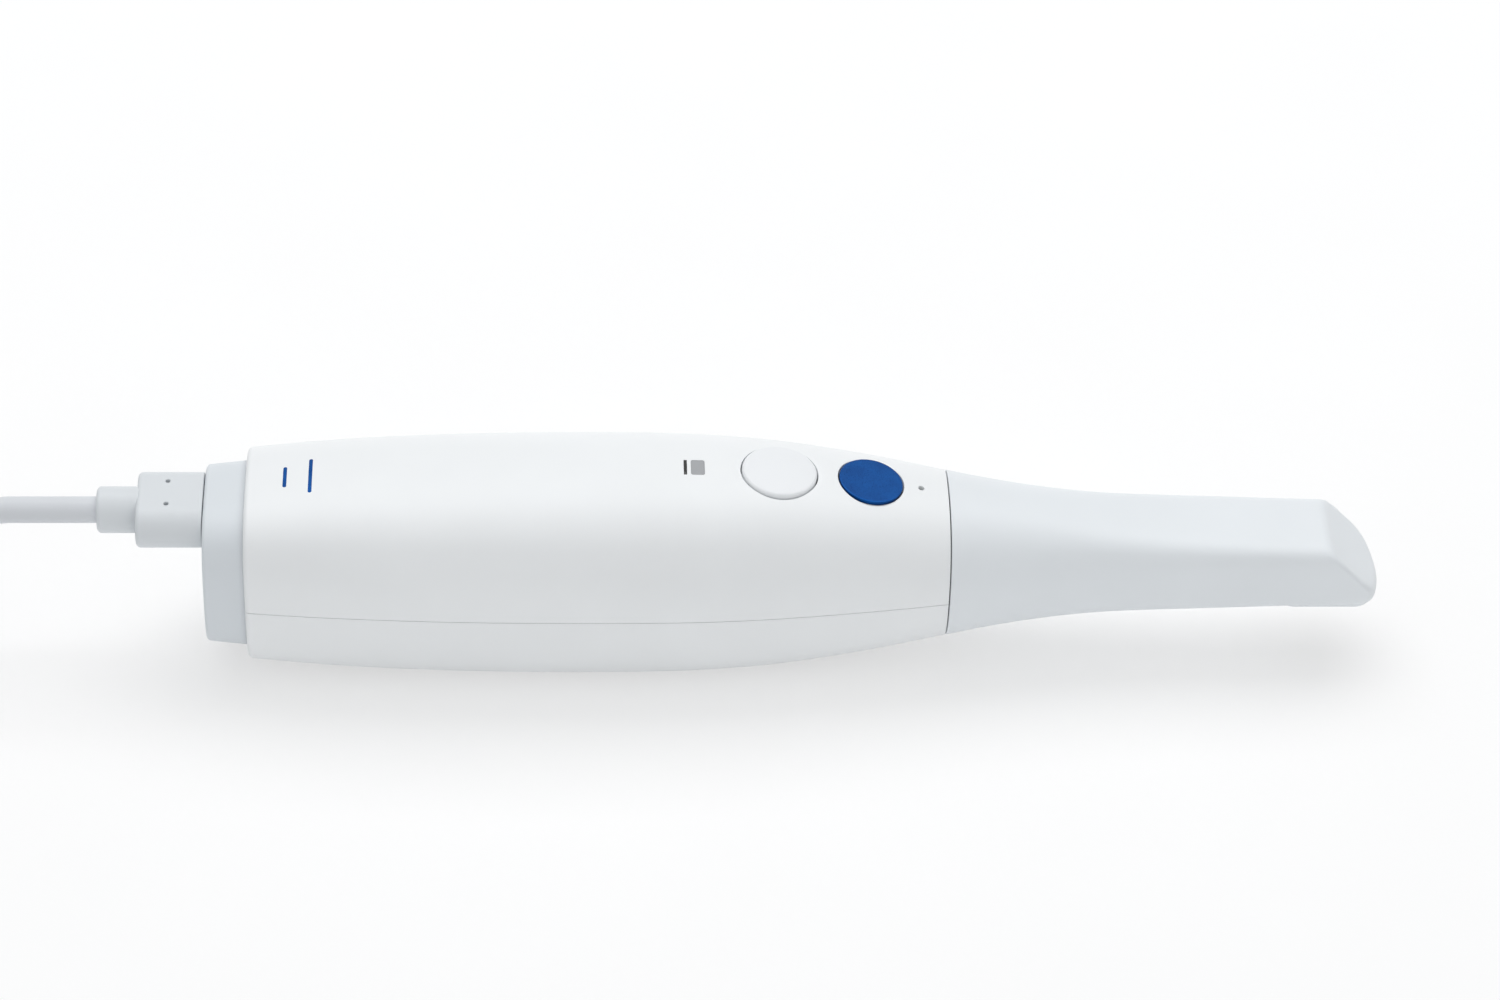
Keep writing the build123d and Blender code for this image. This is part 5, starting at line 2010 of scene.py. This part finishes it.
@dataclass
class Studio:
    """Camera of the photograph, floor, world and soft lamps."""

    lens: float = 121.82
    distance: float = 1072.0
    elevation: float = 41.0
    pan: float = 2.32
    foot: tuple[float, float, float] = (-53.08, 0.0, 23.7)
    raised: float = 11.0
    floor_glow: float = 0.55
    horizon_light: float = 0.12
    zenith_light: float = 0.8
    sky_tint: Colour = (0.97, 0.985, 1.0, 1.0)
    floor_half: float = 4.0
    overhead_power: float = 11.3
    front_power: float = 3.8

    def camera(self) -> None:
        """Makes the camera."""
        raise_angle = math.radians(self.elevation)
        turn = math.radians(self.pan)
        back = Vector((0.0, -math.cos(raise_angle), math.sin(raise_angle)))
        up = Vector((0.0, math.sin(raise_angle), math.cos(raise_angle)))
        side = Vector((1.0, 0.0, 0.0))
        looking = -back * math.cos(turn) + side * math.sin(turn)
        right = side * math.cos(turn) + back * math.sin(turn)
        data = bpy.data.cameras.new("camera")
        data.lens = self.lens
        data.clip_start = 0.05
        data.clip_end = 50.0
        camera = bpy.data.objects.new("camera", data)
        place = (Vector(self.foot) + back * self.distance + up * self.raised) * MM
        turned_axes = Matrix((right, up, -looking)).transposed()
        camera.matrix_world = Matrix.Translation(place) @ turned_axes.to_4x4()
        bpy.context.scene.collection.objects.link(camera)
        bpy.context.scene.camera = camera

    @staticmethod
    def lamp(
        name: str, place: Sequence[float], aim: Sequence[float], size: Sequence[float], power: float
    ) -> None:
        """Makes one rectangular lamp.

        Args:
            name: its name.
            place: where it hangs, in metres.
            aim: the point that it faces.
            size: width and height in metres.
            power: its power in watts.
        """
        data = bpy.data.lights.new(name, "AREA")
        data.shape = "RECTANGLE"
        data.size, data.size_y = size
        data.energy = power
        lamp = bpy.data.objects.new(name, data)
        lamp.location = place
        lamp.rotation_euler = (Vector(aim) - Vector(place)).to_track_quat("-Z", "Y").to_euler()
        bpy.context.scene.collection.objects.link(lamp)

    def floor(self) -> None:
        """Makes the pale floor."""
        half = self.floor_half
        mesh = bpy.data.meshes.new("floor")
        corners = [(-half, -half, 0), (half, -half, 0), (half, half, 0), (-half, half, 0)]
        mesh.from_pydata(corners, [], [(0, 1, 2, 3)])
        floor = bpy.data.objects.new("floor", mesh)
        bpy.context.scene.collection.objects.link(floor)
        bench = ShaderBench("floor_paper")
        cloud = bench.spread(bench.noise(60.0), 0.0, 1.0)
        tone = bench.blend(cloud, linear(250, 250, 250), linear(252, 252, 252))
        matt = {"Base Color": tone, "Roughness": 0.9, "Specular IOR Level": 0.1}
        paper = bench.add("ShaderNodeBsdfPrincipled", matt)
        share = bench.math("MULTIPLY", bench.seen(), self.floor_glow)
        white = bench.add("ShaderNodeEmission", {"Color": WHITE, "Strength": 1.0})
        mixed = bench.add("ShaderNodeMixShader", {0: share, 1: paper.outputs[0], 2: white.outputs[0]})
        mesh.materials.append(bench.finish(mixed))

    def world(self) -> None:
        """Makes the world: white where the camera, gloss or glass sees it, dimmer as light."""
        world = bpy.data.worlds.new("studio")
        world.use_nodes = True
        world.node_tree.nodes.clear()
        bench = NodeBench(world.node_tree)
        direction = bench.add("ShaderNodeTexCoord").outputs["Generated"]
        upward = bench.add("ShaderNodeSeparateXYZ", {"Vector": direction}).outputs["Z"]
        rise = {"Value": upward, "To Min": self.horizon_light, "To Max": self.zenith_light}
        strength = bench.add("ShaderNodeMapRange", rise).outputs["Result"]
        light = bench.add("ShaderNodeBackground", {"Color": self.sky_tint, "Strength": strength})
        white = bench.add("ShaderNodeBackground", {"Color": WHITE, "Strength": 1.0})
        mixed = bench.add("ShaderNodeMixShader", {0: bench.seen(), 1: light.outputs[0], 2: white.outputs[0]})
        bench.add("ShaderNodeOutputWorld", {"Surface": mixed.outputs[0]})
        bpy.context.scene.world = world

    def build(self) -> None:
        """Makes the whole studio."""
        self.camera()
        self.floor()
        self.world()
        self.lamp("overhead", (0.0, 0.55, 1.25), (0.0, 0.0, 0.0), (1.8, 0.9), self.overhead_power)
        self.lamp("front_low", (0.0, -1.5, 0.14), (0.0, 0.0, 0.02), (1.6, 0.2), self.front_power)
        bpy.context.scene.view_settings.view_transform = "Standard"


def main() -> None:
    """Builds the studio and the scanner, piece by piece."""
    logging.basicConfig(level=logging.INFO, format="%(message)s")
    Studio().build()
    palette = Palette()
    palette.dress_nodes()
    Cable().build(palette)
    forms = WalledForm()
    shell = UpperShell()
    shell.build(palette)
    LowerShell().build(palette, forms)
    RearCap().build(palette)
    TipSleeve().build(palette)
    Keys().build(palette, shell)
    RearMarks().build(palette)
    RearPlug().build(palette)


if __name__ == "__main__":
    main()
